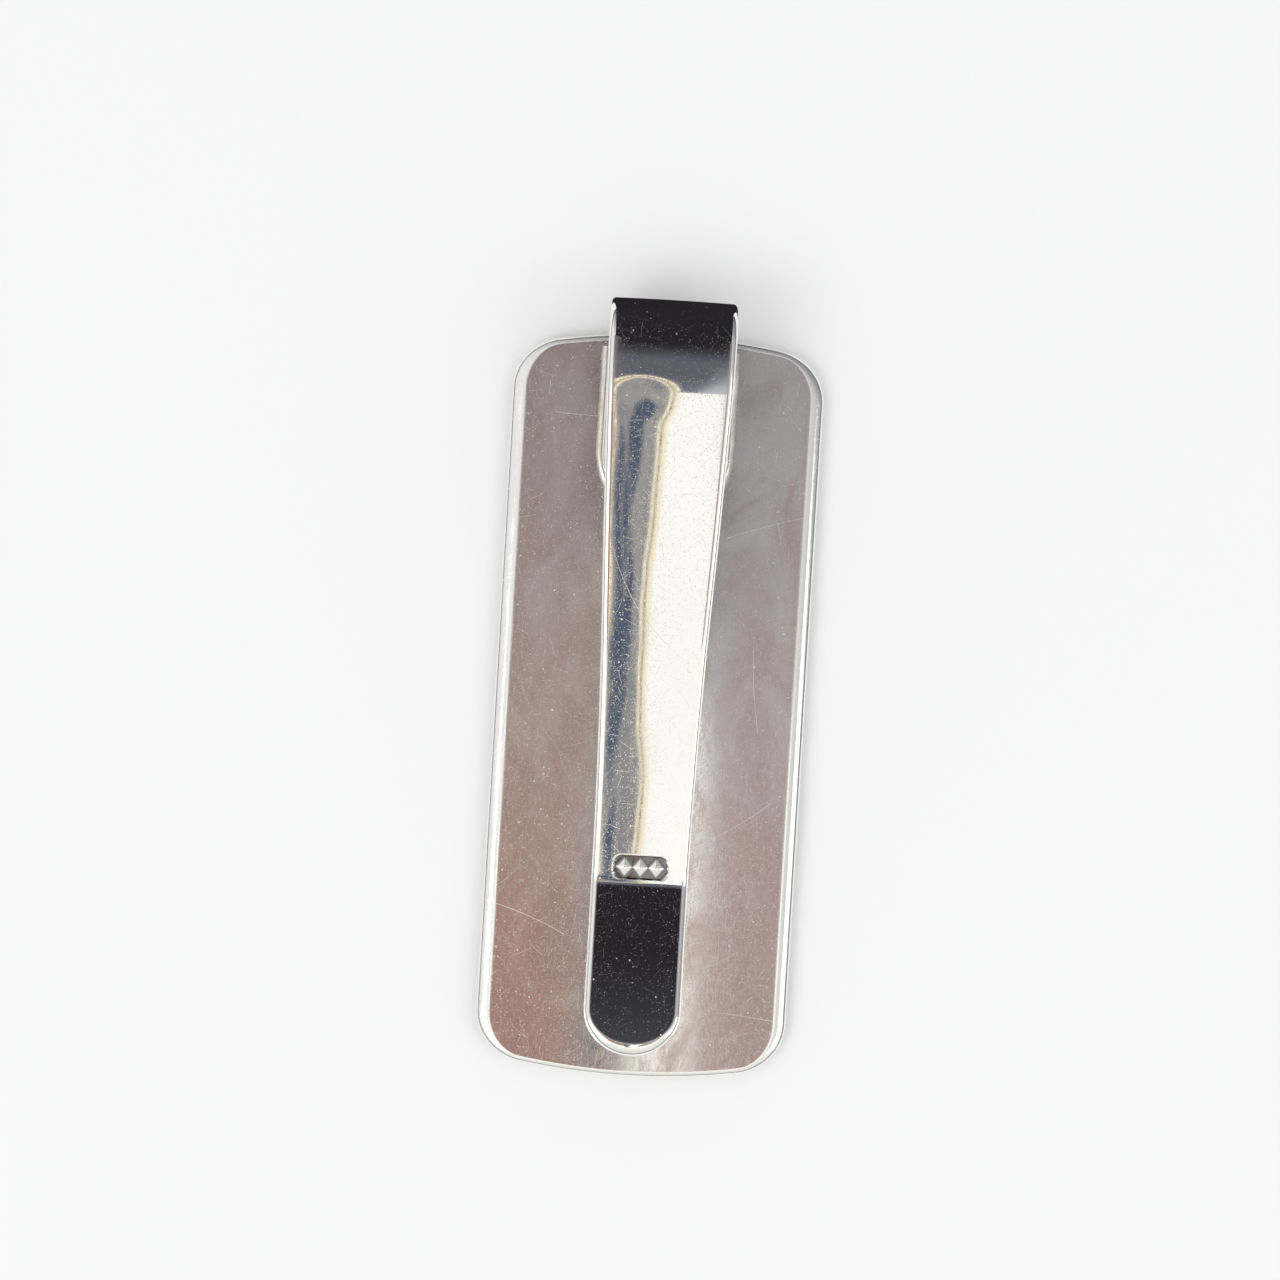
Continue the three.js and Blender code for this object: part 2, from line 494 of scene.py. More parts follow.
def close_mesh(mesh: bpy.types.Mesh) -> None:
    """Merges doubled points, drops what collapsed, and turns all faces outwards.

    Args:
        mesh: The mesh to put right.
    """
    work = bmesh.new()
    work.from_mesh(mesh)
    bmesh.ops.remove_doubles(work, verts=work.verts, dist=DOUBLED)
    bmesh.ops.dissolve_degenerate(work, edges=work.edges, dist=COLLAPSED)
    bmesh.ops.recalc_face_normals(work, faces=work.faces)
    work.to_mesh(mesh)
    work.free()


def evenly(start: float, end: float, step: float) -> np.ndarray:
    """Stations from start up to but without end, no further apart than step."""
    count = max(1, math.ceil(abs(end - start) / step))
    return np.linspace(start, end, count, endpoint=False)


def round_end(half_width: float, length: float, steps: int) -> np.ndarray:
    """A quarter of an oval, from the middle to the side, as (half width, station) points."""
    angle = np.linspace(0, math.pi / 2, steps)
    return np.column_stack([half_width * np.sin(angle), length * (1 - np.cos(angle))])


# --------------------------------------------------------------------------------------
# Geometry Nodes
# --------------------------------------------------------------------------------------


class MixOf(Enum):
    """What a Mix node mixes, with the numbers of its two inputs and its output for it."""

    VECTORS = ("VECTOR", 4, 5, 1)
    COLOURS = ("RGBA", 6, 7, 2)


def opaque(colour: Colour) -> tuple[float, float, float, float]:
    """A colour as a colour socket takes it."""
    return (*colour, 1.0)


class NodeTree:
    """A short hand for building a node tree in code."""

    def __init__(self, tree: bpy.types.NodeTree) -> None:
        """Keeps the tree that nodes go into."""
        self.tree = tree

    def socket(self, name: str, kind: str, default: float | None = None, output: bool = False) -> None:
        """Adds an input or output to the tree.

        Args:
            name: The socket's name.
            kind: Its type, such as NodeSocketFloat.
            default: Its value when nothing is set.
            output: True for an output.
        """
        side = "OUTPUT" if output else "INPUT"
        made = self.tree.interface.new_socket(name=name, in_out=side, socket_type=kind)
        if default is not None:
            made.default_value = default

    def add(
        self, kind: str, inputs: dict[str | int, object] | None = None, **settings: object
    ) -> bpy.types.Node:
        """Adds a node.

        Args:
            kind: The node's type name.
            inputs: Sockets, or values, by input name or number.
            settings: Properties of the node.

        Returns:
            The node.
        """
        node = self.tree.nodes.new(kind)
        for key, value in settings.items():
            setattr(node, key, value)
        for key, value in (inputs or {}).items():
            socket = node.inputs[key]
            if isinstance(value, bpy.types.NodeSocket):
                self.tree.links.new(value, socket)
            else:
                socket.default_value = value
        return node

    def math(self, operation: str, *values: object) -> bpy.types.NodeSocket:
        """One step of arithmetic on sockets or numbers, and its result."""
        node = self.add("ShaderNodeMath", dict(enumerate(values)), operation=operation)
        return node.outputs[0]

    def vector_math(self, operation: str, *values: object) -> bpy.types.NodeSocket:
        """One step of vector arithmetic, and its result."""
        node = self.add("ShaderNodeVectorMath", dict(enumerate(values)), operation=operation)
        return node.outputs["Vector"]

    def join(self, *parts: bpy.types.NodeSocket) -> bpy.types.NodeSocket:
        """Joins geometries.

        Args:
            parts: The geometries.

        Returns:
            All of them as one.
        """
        node = self.add("GeometryNodeJoinGeometry")
        for part in parts:
            self.tree.links.new(part, node.inputs[0])
        return node.outputs[0]

    def mix(
        self, factor: object, first: object, second: object, kind: MixOf = MixOf.COLOURS
    ) -> bpy.types.NodeSocket:
        """Mixes two colours or vectors.

        Args:
            factor: 0 for all of the first, and 1 for all of the second.
            first: A socket or value.
            second: A socket or value.
            kind: What they are.

        Returns:
            The mixture.
        """
        data_type, at_first, at_second, at_result = kind.value
        inputs = {"Factor": factor, at_first: first, at_second: second}
        return self.add("ShaderNodeMix", inputs, data_type=data_type).outputs[at_result]

    def ramp(
        self,
        value: object,
        low: float,
        high: float,
        to_low: float = 0.0,
        to_high: float = 1.0,
        smooth: bool = True,
    ) -> bpy.types.NodeSocket:
        """Maps a range of values to another, held at both ends.

        Args:
            value: The socket to map.
            low: Where the ramp starts.
            high: Where it ends.
            to_low: The result at and before low.
            to_high: The result at and after high.
            smooth: True for a soft start and end.

        Returns:
            The mapped value.
        """
        node = self.add(
            "ShaderNodeMapRange",
            {"Value": value, "From Min": low, "From Max": high, "To Min": to_low, "To Max": to_high},
            interpolation_type="SMOOTHSTEP" if smooth else "LINEAR",
            clamp=True,
        )
        return node.outputs["Result"]


def emptied_tree(owner: bpy.types.Material | bpy.types.World) -> NodeTree:
    """Gives a material or world an empty node tree.

    Args:
        owner: What the tree belongs to.

    Returns:
        The tree.
    """
    owner.use_nodes = True
    owner.node_tree.nodes.clear()
    return NodeTree(owner.node_tree)


# What a noise texture gives on average.
NOISE_MIDDLE = 0.5


def new_geometry_tree(name: str) -> NodeTree:
    """An empty Geometry Nodes tree with a Geometry input and output.

    Args:
        name: The tree's name.

    Returns:
        The tree.
    """
    tree = NodeTree(bpy.data.node_groups.new(name, "GeometryNodeTree"))
    tree.socket("Geometry", "NodeSocketGeometry")
    tree.socket("Geometry", "NodeSocketGeometry", output=True)
    return tree


def end_geometry_tree(
    tree: NodeTree, geometry: bpy.types.NodeSocket, material: bpy.types.NodeSocket
) -> None:
    """Ends a tree in Realize Instances and Set Material.

    Args:
        tree: The tree to end.
        geometry: What it made.
        material: The finish of it.
    """
    real = tree.add("GeometryNodeRealizeInstances", {"Geometry": geometry})
    dressed = tree.add("GeometryNodeSetMaterial", {"Geometry": real.outputs[0], "Material": material})
    tree.add("NodeGroupOutput", {"Geometry": dressed.outputs[0]})


def hand_finish_nodes(
    tree: NodeTree, geometry: bpy.types.NodeSocket, source: bpy.types.Node
) -> bpy.types.NodeSocket:
    """Adds the faint unevenness that hand polishing leaves on a flat blank.

    Args:
        tree: The tree to build in.
        geometry: The blank.
        source: The tree's input node, with Unevenness, Wave Length and Seed.

    Returns:
        The blank with its surface moved up and down by the same amount on both faces.
    """
    place = tree.add("GeometryNodeInputPosition").outputs[0]
    flat = tree.vector_math("MULTIPLY", place, (1.0, 1.0, 0.0))
    scale = tree.math("DIVIDE", 1.0, source.outputs["Wave Length"])
    noise = tree.add(
        "ShaderNodeTexNoise",
        {"Vector": flat, "W": source.outputs["Seed"], "Scale": scale, "Detail": 1.0, "Roughness": 0.4},
        noise_dimensions="4D",
    )
    centred = tree.math("SUBTRACT", noise.outputs[0], NOISE_MIDDLE)
    height = tree.math("MULTIPLY", centred, tree.math("MULTIPLY", source.outputs["Unevenness"], 2.0))
    offset = tree.add("ShaderNodeCombineXYZ", {"Z": height})
    moved = tree.add("GeometryNodeSetPosition", {"Geometry": geometry, "Offset": offset.outputs[0]})
    return moved.outputs[0]


def finish_sockets(tree: NodeTree) -> None:
    """Adds the inputs that every tree has for its piece's finish.

    Args:
        tree: The tree to add them to.
    """
    tree.socket("Unevenness", "NodeSocketFloat", 0.0)
    tree.socket("Wave Length", "NodeSocketFloat", 6 * MM)
    tree.socket("Seed", "NodeSocketFloat", 0.0)
    tree.socket("Material", "NodeSocketMaterial")


def finish_values(piece: "FrontPlate | SpringStrip | SolderBead") -> dict[str, object]:
    """What a piece puts into the inputs of its finish.

    Args:
        piece: The piece.

    Returns:
        The values by the names of the inputs.
    """
    return {
        "Unevenness": piece.unevenness,
        "Wave Length": piece.wave_length,
        "Seed": piece.seed,
        "Material": piece.material,
    }


def flat_sheet_tree() -> bpy.types.NodeTree:
    """The tree that finishes a sheet that stays flat, and lays it at its height and place.

    Returns:
        The tree.
    """
    tree = new_geometry_tree("Lay flat sheet")
    tree.socket("Middle", "NodeSocketVector")
    finish_sockets(tree)
    source = tree.add("NodeGroupInput")
    blank = hand_finish_nodes(tree, source.outputs["Geometry"], source)
    laid = tree.add("GeometryNodeSetPosition", {"Geometry": blank, "Offset": source.outputs["Middle"]})
    end_geometry_tree(tree, laid.outputs[0], source.outputs["Material"])
    return tree.tree


# The runs of the middle line that turn it, in order.
BENT_RUNS = ("Bend", "Arch", "Kink")


def heading_nodes(
    tree: NodeTree, station: bpy.types.NodeSocket, source: bpy.types.Node
) -> bpy.types.NodeSocket:
    """The middle line's heading at a station: the sum of what each bent run has turned so far.

    Args:
        tree: The tree to build in.
        station: Distance along the middle line.
        source: The tree's input node, with each bent run's Start, Length and Turn.

    Returns:
        The heading in radians. The bend and the arch are round, and the kink starts and ends softly.
    """
    total: bpy.types.NodeSocket | None = None
    for run in BENT_RUNS:
        start, length, turn = (source.outputs[f"{run} {part}"] for part in ("Start", "Length", "Turn"))
        share = tree.math("DIVIDE", tree.math("SUBTRACT", station, start), length)
        turned = tree.math("MULTIPLY", tree.ramp(share, 0.0, 1.0, smooth=run == "Kink"), turn)
        total = turned if total is None else tree.math("ADD", total, turned)
    return total


def bent_strip_tree() -> bpy.types.NodeTree:
    """The tree that finishes a blank and bends it along a middle line.

    The middle line is a row of points at even stations. Its heading follows a rule, and its places
    are the running sum of short steps in the direction of the heading.

    Returns:
        The tree.
    """
    tree = new_geometry_tree("Bend strip")
    tree.socket("Start", "NodeSocketVector")
    tree.socket("Length", "NodeSocketFloat")
    for run in BENT_RUNS:
        for part in ("Start", "Length", "Turn"):
            tree.socket(f"{run} {part}", "NodeSocketFloat")
    tree.socket("Steps", "NodeSocketInt", 4000)
    finish_sockets(tree)
    source = tree.add("NodeGroupInput")
    step = tree.math("DIVIDE", source.outputs["Length"], source.outputs["Steps"])

    points = tree.add("GeometryNodeMeshLine", {"Count": tree.math("ADD", source.outputs["Steps"], 1.0)})
    index = tree.add("GeometryNodeInputIndex").outputs[0]
    halfway_back = tree.math("MULTIPLY", tree.math("SUBTRACT", index, 0.5), step)
    heading = heading_nodes(tree, halfway_back, source)
    towards = tree.add(
        "ShaderNodeCombineXYZ", {"Y": tree.math("COSINE", heading), "Z": tree.math("SINE", heading)}
    )
    moving = tree.math("MULTIPLY", tree.math("GREATER_THAN", index, 0.5), step)
    advance = tree.add("ShaderNodeVectorMath", {0: towards.outputs[0], "Scale": moving}, operation="SCALE")
    summed = tree.add(
        "GeometryNodeAccumulateField", {0: advance.outputs["Vector"]}, data_type="FLOAT_VECTOR"
    )
    on_line = tree.vector_math("ADD", summed.outputs["Leading"], source.outputs["Start"])
    line = tree.add("GeometryNodeSetPosition", {"Geometry": points.outputs["Mesh"], "Position": on_line})

    blank = hand_finish_nodes(tree, source.outputs["Geometry"], source)
    place = tree.add("ShaderNodeSeparateXYZ", {0: tree.add("GeometryNodeInputPosition").outputs[0]})
    across, station, up = place.outputs
    at = tree.math("DIVIDE", station, step)
    below = tree.math("FLOOR", at)
    neighbours = []
    for extra in (0.0, 1.0):
        sample = tree.add(
            "GeometryNodeSampleIndex",
            {
                "Geometry": line.outputs[0],
                "Value": tree.add("GeometryNodeInputPosition").outputs[0],
                "Index": tree.math("ADD", below, extra),
            },
            data_type="FLOAT_VECTOR",
            clamp=True,
        )
        neighbours.append(sample.outputs[0])
    between = tree.mix(tree.math("SUBTRACT", at, below), *neighbours, kind=MixOf.VECTORS)
    here = heading_nodes(tree, station, source)
    rise = tree.add(
        "ShaderNodeCombineXYZ",
        {
            "X": across,
            "Y": tree.math("MULTIPLY", tree.math("SINE", here), tree.math("MULTIPLY", up, -1.0)),
            "Z": tree.math("MULTIPLY", tree.math("COSINE", here), up),
        },
    )
    risen = tree.vector_math("ADD", between, rise.outputs[0])
    bent = tree.add("GeometryNodeSetPosition", {"Geometry": blank, "Position": risen})
    end_geometry_tree(tree, bent.outputs[0], source.outputs["Material"])
    return tree.tree


def solder_bead_tree() -> bpy.types.NodeTree:
    """The tree that runs a hollow-faced bead of solder round the foot, and a film under it.

    The foot's outline comes in as a row of edges, with the outside on its right. The bead's section
    has one leg out on the plate and one up the foot's rim, and its base is sunk a little into the
    plate. The bead thins out towards both ends.

    Returns:
        The tree.
    """
    tree = new_geometry_tree("Run solder bead")
    for name in ("Leg", "Rise", "Sunk", "Tuck", "Base", "Film", "End Size", "End Share"):
        tree.socket(name, "NodeSocketFloat")
    tree.socket("Section Steps", "NodeSocketInt", 16)
    finish_sockets(tree)
    source = tree.add("NodeGroupInput")
    leg, rise, sunk, tuck = (source.outputs[name] for name in ("Leg", "Rise", "Sunk", "Tuck"))
    steps = source.outputs["Section Steps"]
    outline = tree.add("GeometryNodeMeshToCurve", {0: source.outputs["Geometry"]}).outputs[0]

    points = tree.add("GeometryNodeMeshLine", {"Count": tree.math("ADD", steps, 4.0)}).outputs["Mesh"]
    index = tree.add("GeometryNodeInputIndex").outputs[0]
    share = tree.math("MINIMUM", tree.math("DIVIDE", index, steps), 1.0)
    face_x = tree.math("MULTIPLY", leg, tree.math("POWER", tree.math("SUBTRACT", 1.0, share), 2.0))
    face_y = tree.math("MULTIPLY", rise, tree.math("POWER", share, 2.0))
    # After the face's points come the tuck's top, the tuck's bottom and the leg's bottom.
    past_face, past_top, past_tuck = (
        tree.math("GREATER_THAN", index, tree.math("ADD", steps, point)) for point in (0.5, 1.5, 2.5)
    )
    on_face = tree.math("SUBTRACT", 1.0, past_face)
    out = tree.math("ADD", tree.math("MULTIPLY", on_face, face_x), tree.math("MULTIPLY", past_tuck, leg))
    tucked = tree.math("MULTIPLY", tree.math("SUBTRACT", past_face, past_tuck), tuck)
    on_top = tree.math("MULTIPLY", tree.math("SUBTRACT", past_face, past_top), rise)
    above = tree.math("ADD", tree.math("MULTIPLY", on_face, face_y), on_top)
    raised = tree.math("MULTIPLY", tree.math("SUBTRACT", 1.0, past_top), sunk)
    # Where a curve's normals are set to Z up, a section's Y points down.
    down = tree.math("MULTIPLY", tree.math("ADD", above, raised), -1.0)
    corner = tree.add("ShaderNodeCombineXYZ", {"X": tree.math("SUBTRACT", out, tucked), "Y": down})
    placed = tree.add("GeometryNodeSetPosition", {"Geometry": points, "Position": corner.outputs[0]})
    section = tree.add("GeometryNodeMeshToCurve", {0: placed.outputs[0]}).outputs[0]
    ring = tree.add("GeometryNodeSetSplineCyclic", {"Geometry": section, "Cyclic": True}).outputs[0]

    along = tree.add("GeometryNodeSplineParameter").outputs["Factor"]
    from_end = tree.math("MINIMUM", along, tree.math("SUBTRACT", 1.0, along))
    share_in = tree.math("DIVIDE", from_end, source.outputs["End Share"])
    size = tree.ramp(share_in, 0.0, 1.0)
    keep = tree.math("SUBTRACT", 1.0, source.outputs["End Size"])
    radius = tree.math("ADD", source.outputs["End Size"], tree.math("MULTIPLY", keep, size))
    upright = tree.add("GeometryNodeSetCurveNormal", {"Curve": outline}, mode="Z_UP").outputs[0]
    sized = tree.add("GeometryNodeSetCurveRadius", {"Curve": upright, "Radius": radius}).outputs[0]
    bead = tree.add("GeometryNodeCurveToMesh", {"Curve": sized, "Profile Curve": ring, "Fill Caps": True})

    flat = tree.add("GeometryNodeFillCurve", {"Curve": outline}).outputs[0]
    base = tree.add("ShaderNodeCombineXYZ", {"Z": source.outputs["Base"]})
    filled = tree.add("GeometryNodeSetPosition", {"Geometry": flat, "Offset": base.outputs[0]}).outputs[0]
    lifted = tree.add(
        "GeometryNodeExtrudeMesh",
        {"Mesh": filled, "Offset Scale": source.outputs["Film"], "Individual": False},
    )
    under = tree.add("GeometryNodeFlipFaces", {"Mesh": filled}).outputs[0]
    sheet = tree.join(lifted.outputs["Mesh"], under)
    closed = tree.add("GeometryNodeMergeByDistance", {"Geometry": sheet, "Distance": FILM_DOUBLED})
    both = tree.join(hand_finish_nodes(tree, bead.outputs[0], source), closed.outputs[0])
    end_geometry_tree(tree, both, source.outputs["Material"])
    return tree.tree


def shape_with(
    made: bpy.types.Object, tree: bpy.types.NodeTree, values: dict[str, object]
) -> bpy.types.Object:
    """Runs a Geometry Nodes tree on an object once and keeps the result as its plain mesh.

    Args:
        made: The object that holds the blank.
        tree: The tree to run.
        values: The tree's inputs by name.

    Returns:
        The same object with its new mesh and without the modifier.
    """
    modifier = made.modifiers.new(tree.name, "NODES")
    modifier.node_group = tree
    for item in tree.interface.items_tree:
        if item.item_type == "SOCKET" and item.in_out == "INPUT" and item.name in values:
            modifier[item.identifier] = values[item.name]
    made.data.update()
    depsgraph = bpy.context.evaluated_depsgraph_get()
    result = bpy.data.meshes.new_from_object(made.evaluated_get(depsgraph), depsgraph=depsgraph)
    made.modifiers.remove(modifier)
    blank, made.data = made.data, result
    result.name = made.name
    bpy.data.meshes.remove(blank)
    return made


# --------------------------------------------------------------------------------------
# Finishes
# --------------------------------------------------------------------------------------


# How much of a scratch's half width, and of a speck's radius, is at full depth.
SCRATCH_CORE = 0.4
SPECK_CORE = 0.5

# The faintest scratch and the smallest speck, as shares of the deepest and the largest.
FAINTEST = 0.35
SMALLEST = 0.4

# The specks, finer and closer together, that make up the haze.
HAZE_SPECKS = {"Cells": 9.0, "Size": 0.045, "Share": 0.6}

# How the rubbed grain and the smears are drawn out and turned, and what smears add to the seed.
GRAIN_DRAWN = {"Scale": (1.0, 0.22, 1.0), "Rotation": (0, 0, 0.25)}
SMEAR_DRAWN = {"Scale": (1.0, 0.6, 1.0), "Rotation": (0, 0, -0.6)}
SMEAR_SEED = 5.0


def new_effect(
    name: str, inputs: dict[str, float], outputs: dict[str, str]
) -> tuple[NodeTree, bpy.types.Node]:
    """An empty shader node group for an effect.

    Args:
        name: The group's name.
        inputs: Its number inputs and their defaults.
        outputs: Its outputs and their socket types.

    Returns:
        The tree and its input node.
    """
    tree = NodeTree(bpy.data.node_groups.new(name, "ShaderNodeTree"))
    for key, value in inputs.items():
        tree.socket(key, "NodeSocketFloat", value)
    for key, kind in outputs.items():
        tree.socket(key, kind, output=True)
    return tree, tree.add("NodeGroupInput")


def millimetres(tree: NodeTree) -> bpy.types.NodeSocket:
    """The piece's own coordinates in millimetres."""
    place = tree.add("ShaderNodeTexCoord").outputs["Object"]
    return tree.vector_math("MULTIPLY", place, (1 / MM, 1 / MM, 1 / MM))


def hairlines_effect() -> bpy.types.NodeTree:
    """Hairline scratches: one short, slightly curved line in some of the cells of a scatter.

    Cells is how many fit in a millimetre, and Width is a line's width in millimetres.

    Returns:
        The effect's group, which puts out a mask.
    """
    tree, source = new_effect(
        "Hairlines",
        {"Cells": 1.0, "Width": 0.012, "Share": 0.5, "Curve": 0.3, "Seed": 0.0},
        {"Mask": "NodeSocketFloat"},
    )
    shift = tree.add("ShaderNodeCombineXYZ", {"X": source.outputs["Seed"], "Y": source.outputs["Seed"]})
    flat = tree.vector_math("MULTIPLY", millimetres(tree), (1.0, 1.0, 0.6))
    place = tree.vector_math("ADD", flat, shift.outputs[0])
    cells = tree.add("ShaderNodeTexVoronoi", {"Vector": place, "Scale": source.outputs["Cells"]})
    centre = cells.outputs["Position"]
    random = tree.add("ShaderNodeSeparateColor", {0: cells.outputs["Color"]}).outputs
    local = tree.vector_math("SUBTRACT", place, centre)
    angle = tree.math("MULTIPLY", random[0], math.tau)
    turned = tree.add("ShaderNodeVectorRotate", {"Vector": local, "Angle": angle}, rotation_type="Z_AXIS")
    along, across, _ = tree.add("ShaderNodeSeparateXYZ", {0: turned.outputs[0]}).outputs
    bow = tree.math("MULTIPLY", tree.math("MULTIPLY", along, along), source.outputs["Curve"])
    bow = tree.math("MULTIPLY", bow, tree.math("SUBTRACT", random[1], 0.5))
    distance = tree.math("ABSOLUTE", tree.math("ADD", across, bow))
    line = tree.ramp(tree.math("DIVIDE", distance, source.outputs["Width"]), SCRATCH_CORE, 1.0, 1.0, 0.0)
    present = tree.math("LESS_THAN", random[2], source.outputs["Share"])
    depth = tree.ramp(random[1], 0.0, 1.0, FAINTEST, 1.0)
    mask = tree.math("MULTIPLY", tree.math("MULTIPLY", line, present), depth)
    tree.add("NodeGroupOutput", {"Mask": mask})
    return tree.tree


def specks_effect() -> bpy.types.NodeTree:
    """Tiny pits and grains of dust, scattered at random. Size is in millimetres.

    Returns:
        The effect's group, which puts out a mask.
    """
    tree, source = new_effect(
        "Specks",
        {"Cells": 2.6, "Size": 0.06, "Share": 0.3, "Seed": 0.0},
        {"Mask": "NodeSocketFloat"},
    )
    shift = tree.add("ShaderNodeCombineXYZ", {"X": source.outputs["Seed"]})
    place = tree.vector_math("ADD", millimetres(tree), shift.outputs[0])
    cells = tree.add("ShaderNodeTexVoronoi", {"Vector": place, "Scale": source.outputs["Cells"]})
    random = tree.add("ShaderNodeSeparateColor", {0: cells.outputs["Color"]}).outputs
    size = tree.math("MULTIPLY", source.outputs["Size"], tree.ramp(random[0], 0.0, 1.0, SMALLEST, 1.0))
    size_in_cells = tree.math("MULTIPLY", size, source.outputs["Cells"])
    reach = tree.math("DIVIDE", cells.outputs["Distance"], size_in_cells)
    dot = tree.ramp(reach, SPECK_CORE, 1.0, 1.0, 0.0)
    present = tree.math("LESS_THAN", random[1], source.outputs["Share"])
    tree.add("NodeGroupOutput", {"Mask": tree.math("MULTIPLY", dot, present)})
    return tree.tree


def handling_effect() -> bpy.types.NodeTree:
    """What handling leaves: a fine rubbed grain, and broad cloudy smears that lay out the tint of the faces,
    which is uneven toning and on the plate also painted reflection.

    Returns:
        The effect's group, which puts out a mask for each.
    """
    tree, source = new_effect(
        "Handling",
        {"Grain Scale": 9.0, "Smear Scale": 0.3, "Seed": 0.0},
        {"Grain": "NodeSocketFloat", "Smear": "NodeSocketFloat"},
    )
    place = millimetres(tree)
    rubbed = tree.add("ShaderNodeMapping", {"Vector": place, **GRAIN_DRAWN})
    grain = tree.add(
        "ShaderNodeTexNoise",
        {
            "Vector": rubbed.outputs[0],
            "W": source.outputs["Seed"],
            "Scale": source.outputs["Grain Scale"],
            "Detail": 5.0,
            "Roughness": 0.7,
        },
        noise_dimensions="4D",
    )
    drift = tree.add("ShaderNodeMapping", {"Vector": place, **SMEAR_DRAWN})
    smear = tree.add(
        "ShaderNodeTexNoise",
        {
            "Vector": drift.outputs[0],
            "W": tree.math("ADD", source.outputs["Seed"], SMEAR_SEED),
            "Scale": source.outputs["Smear Scale"],
            "Detail": 6.0,
            "Roughness": 0.62,
            "Distortion": 0.8,
        },
        noise_dimensions="4D",
    )
    tree.add("NodeGroupOutput", {"Grain": grain.outputs[0], "Smear": smear.outputs[0]})
    return tree.tree


@dataclass(frozen=True)
class Hairlines:
    """One set of scratches of about the same length."""

    cells: float
    width: float
    share: float
    curve: float
    strength: float


# Where in the range of a noise each kind of wear starts and is full; the first is the tint, which is toning
# and on the plate also painted reflection.
TONE_AND_REFLECTION_RANGE = (0.36, 0.66)
RUBBED = (0.35, 0.7)
SMEARED = (0.45, 0.7)

# How deep in the struck mark the painted shade starts and is full.
RECESS_SHADE_DEPTHS = (0.55, 0.98)

# Half the height, in millimetres, over which the tint of a face fades in; the tint is toning and on the
# plate also painted reflection.
TONE_AND_REFLECTION_FADE = 0.05

# What each effect adds to a finish's seed.
SCRATCH_SEED = 3.7
HAZE_SEED = 7.0
HANDLING_SEED = 20.0


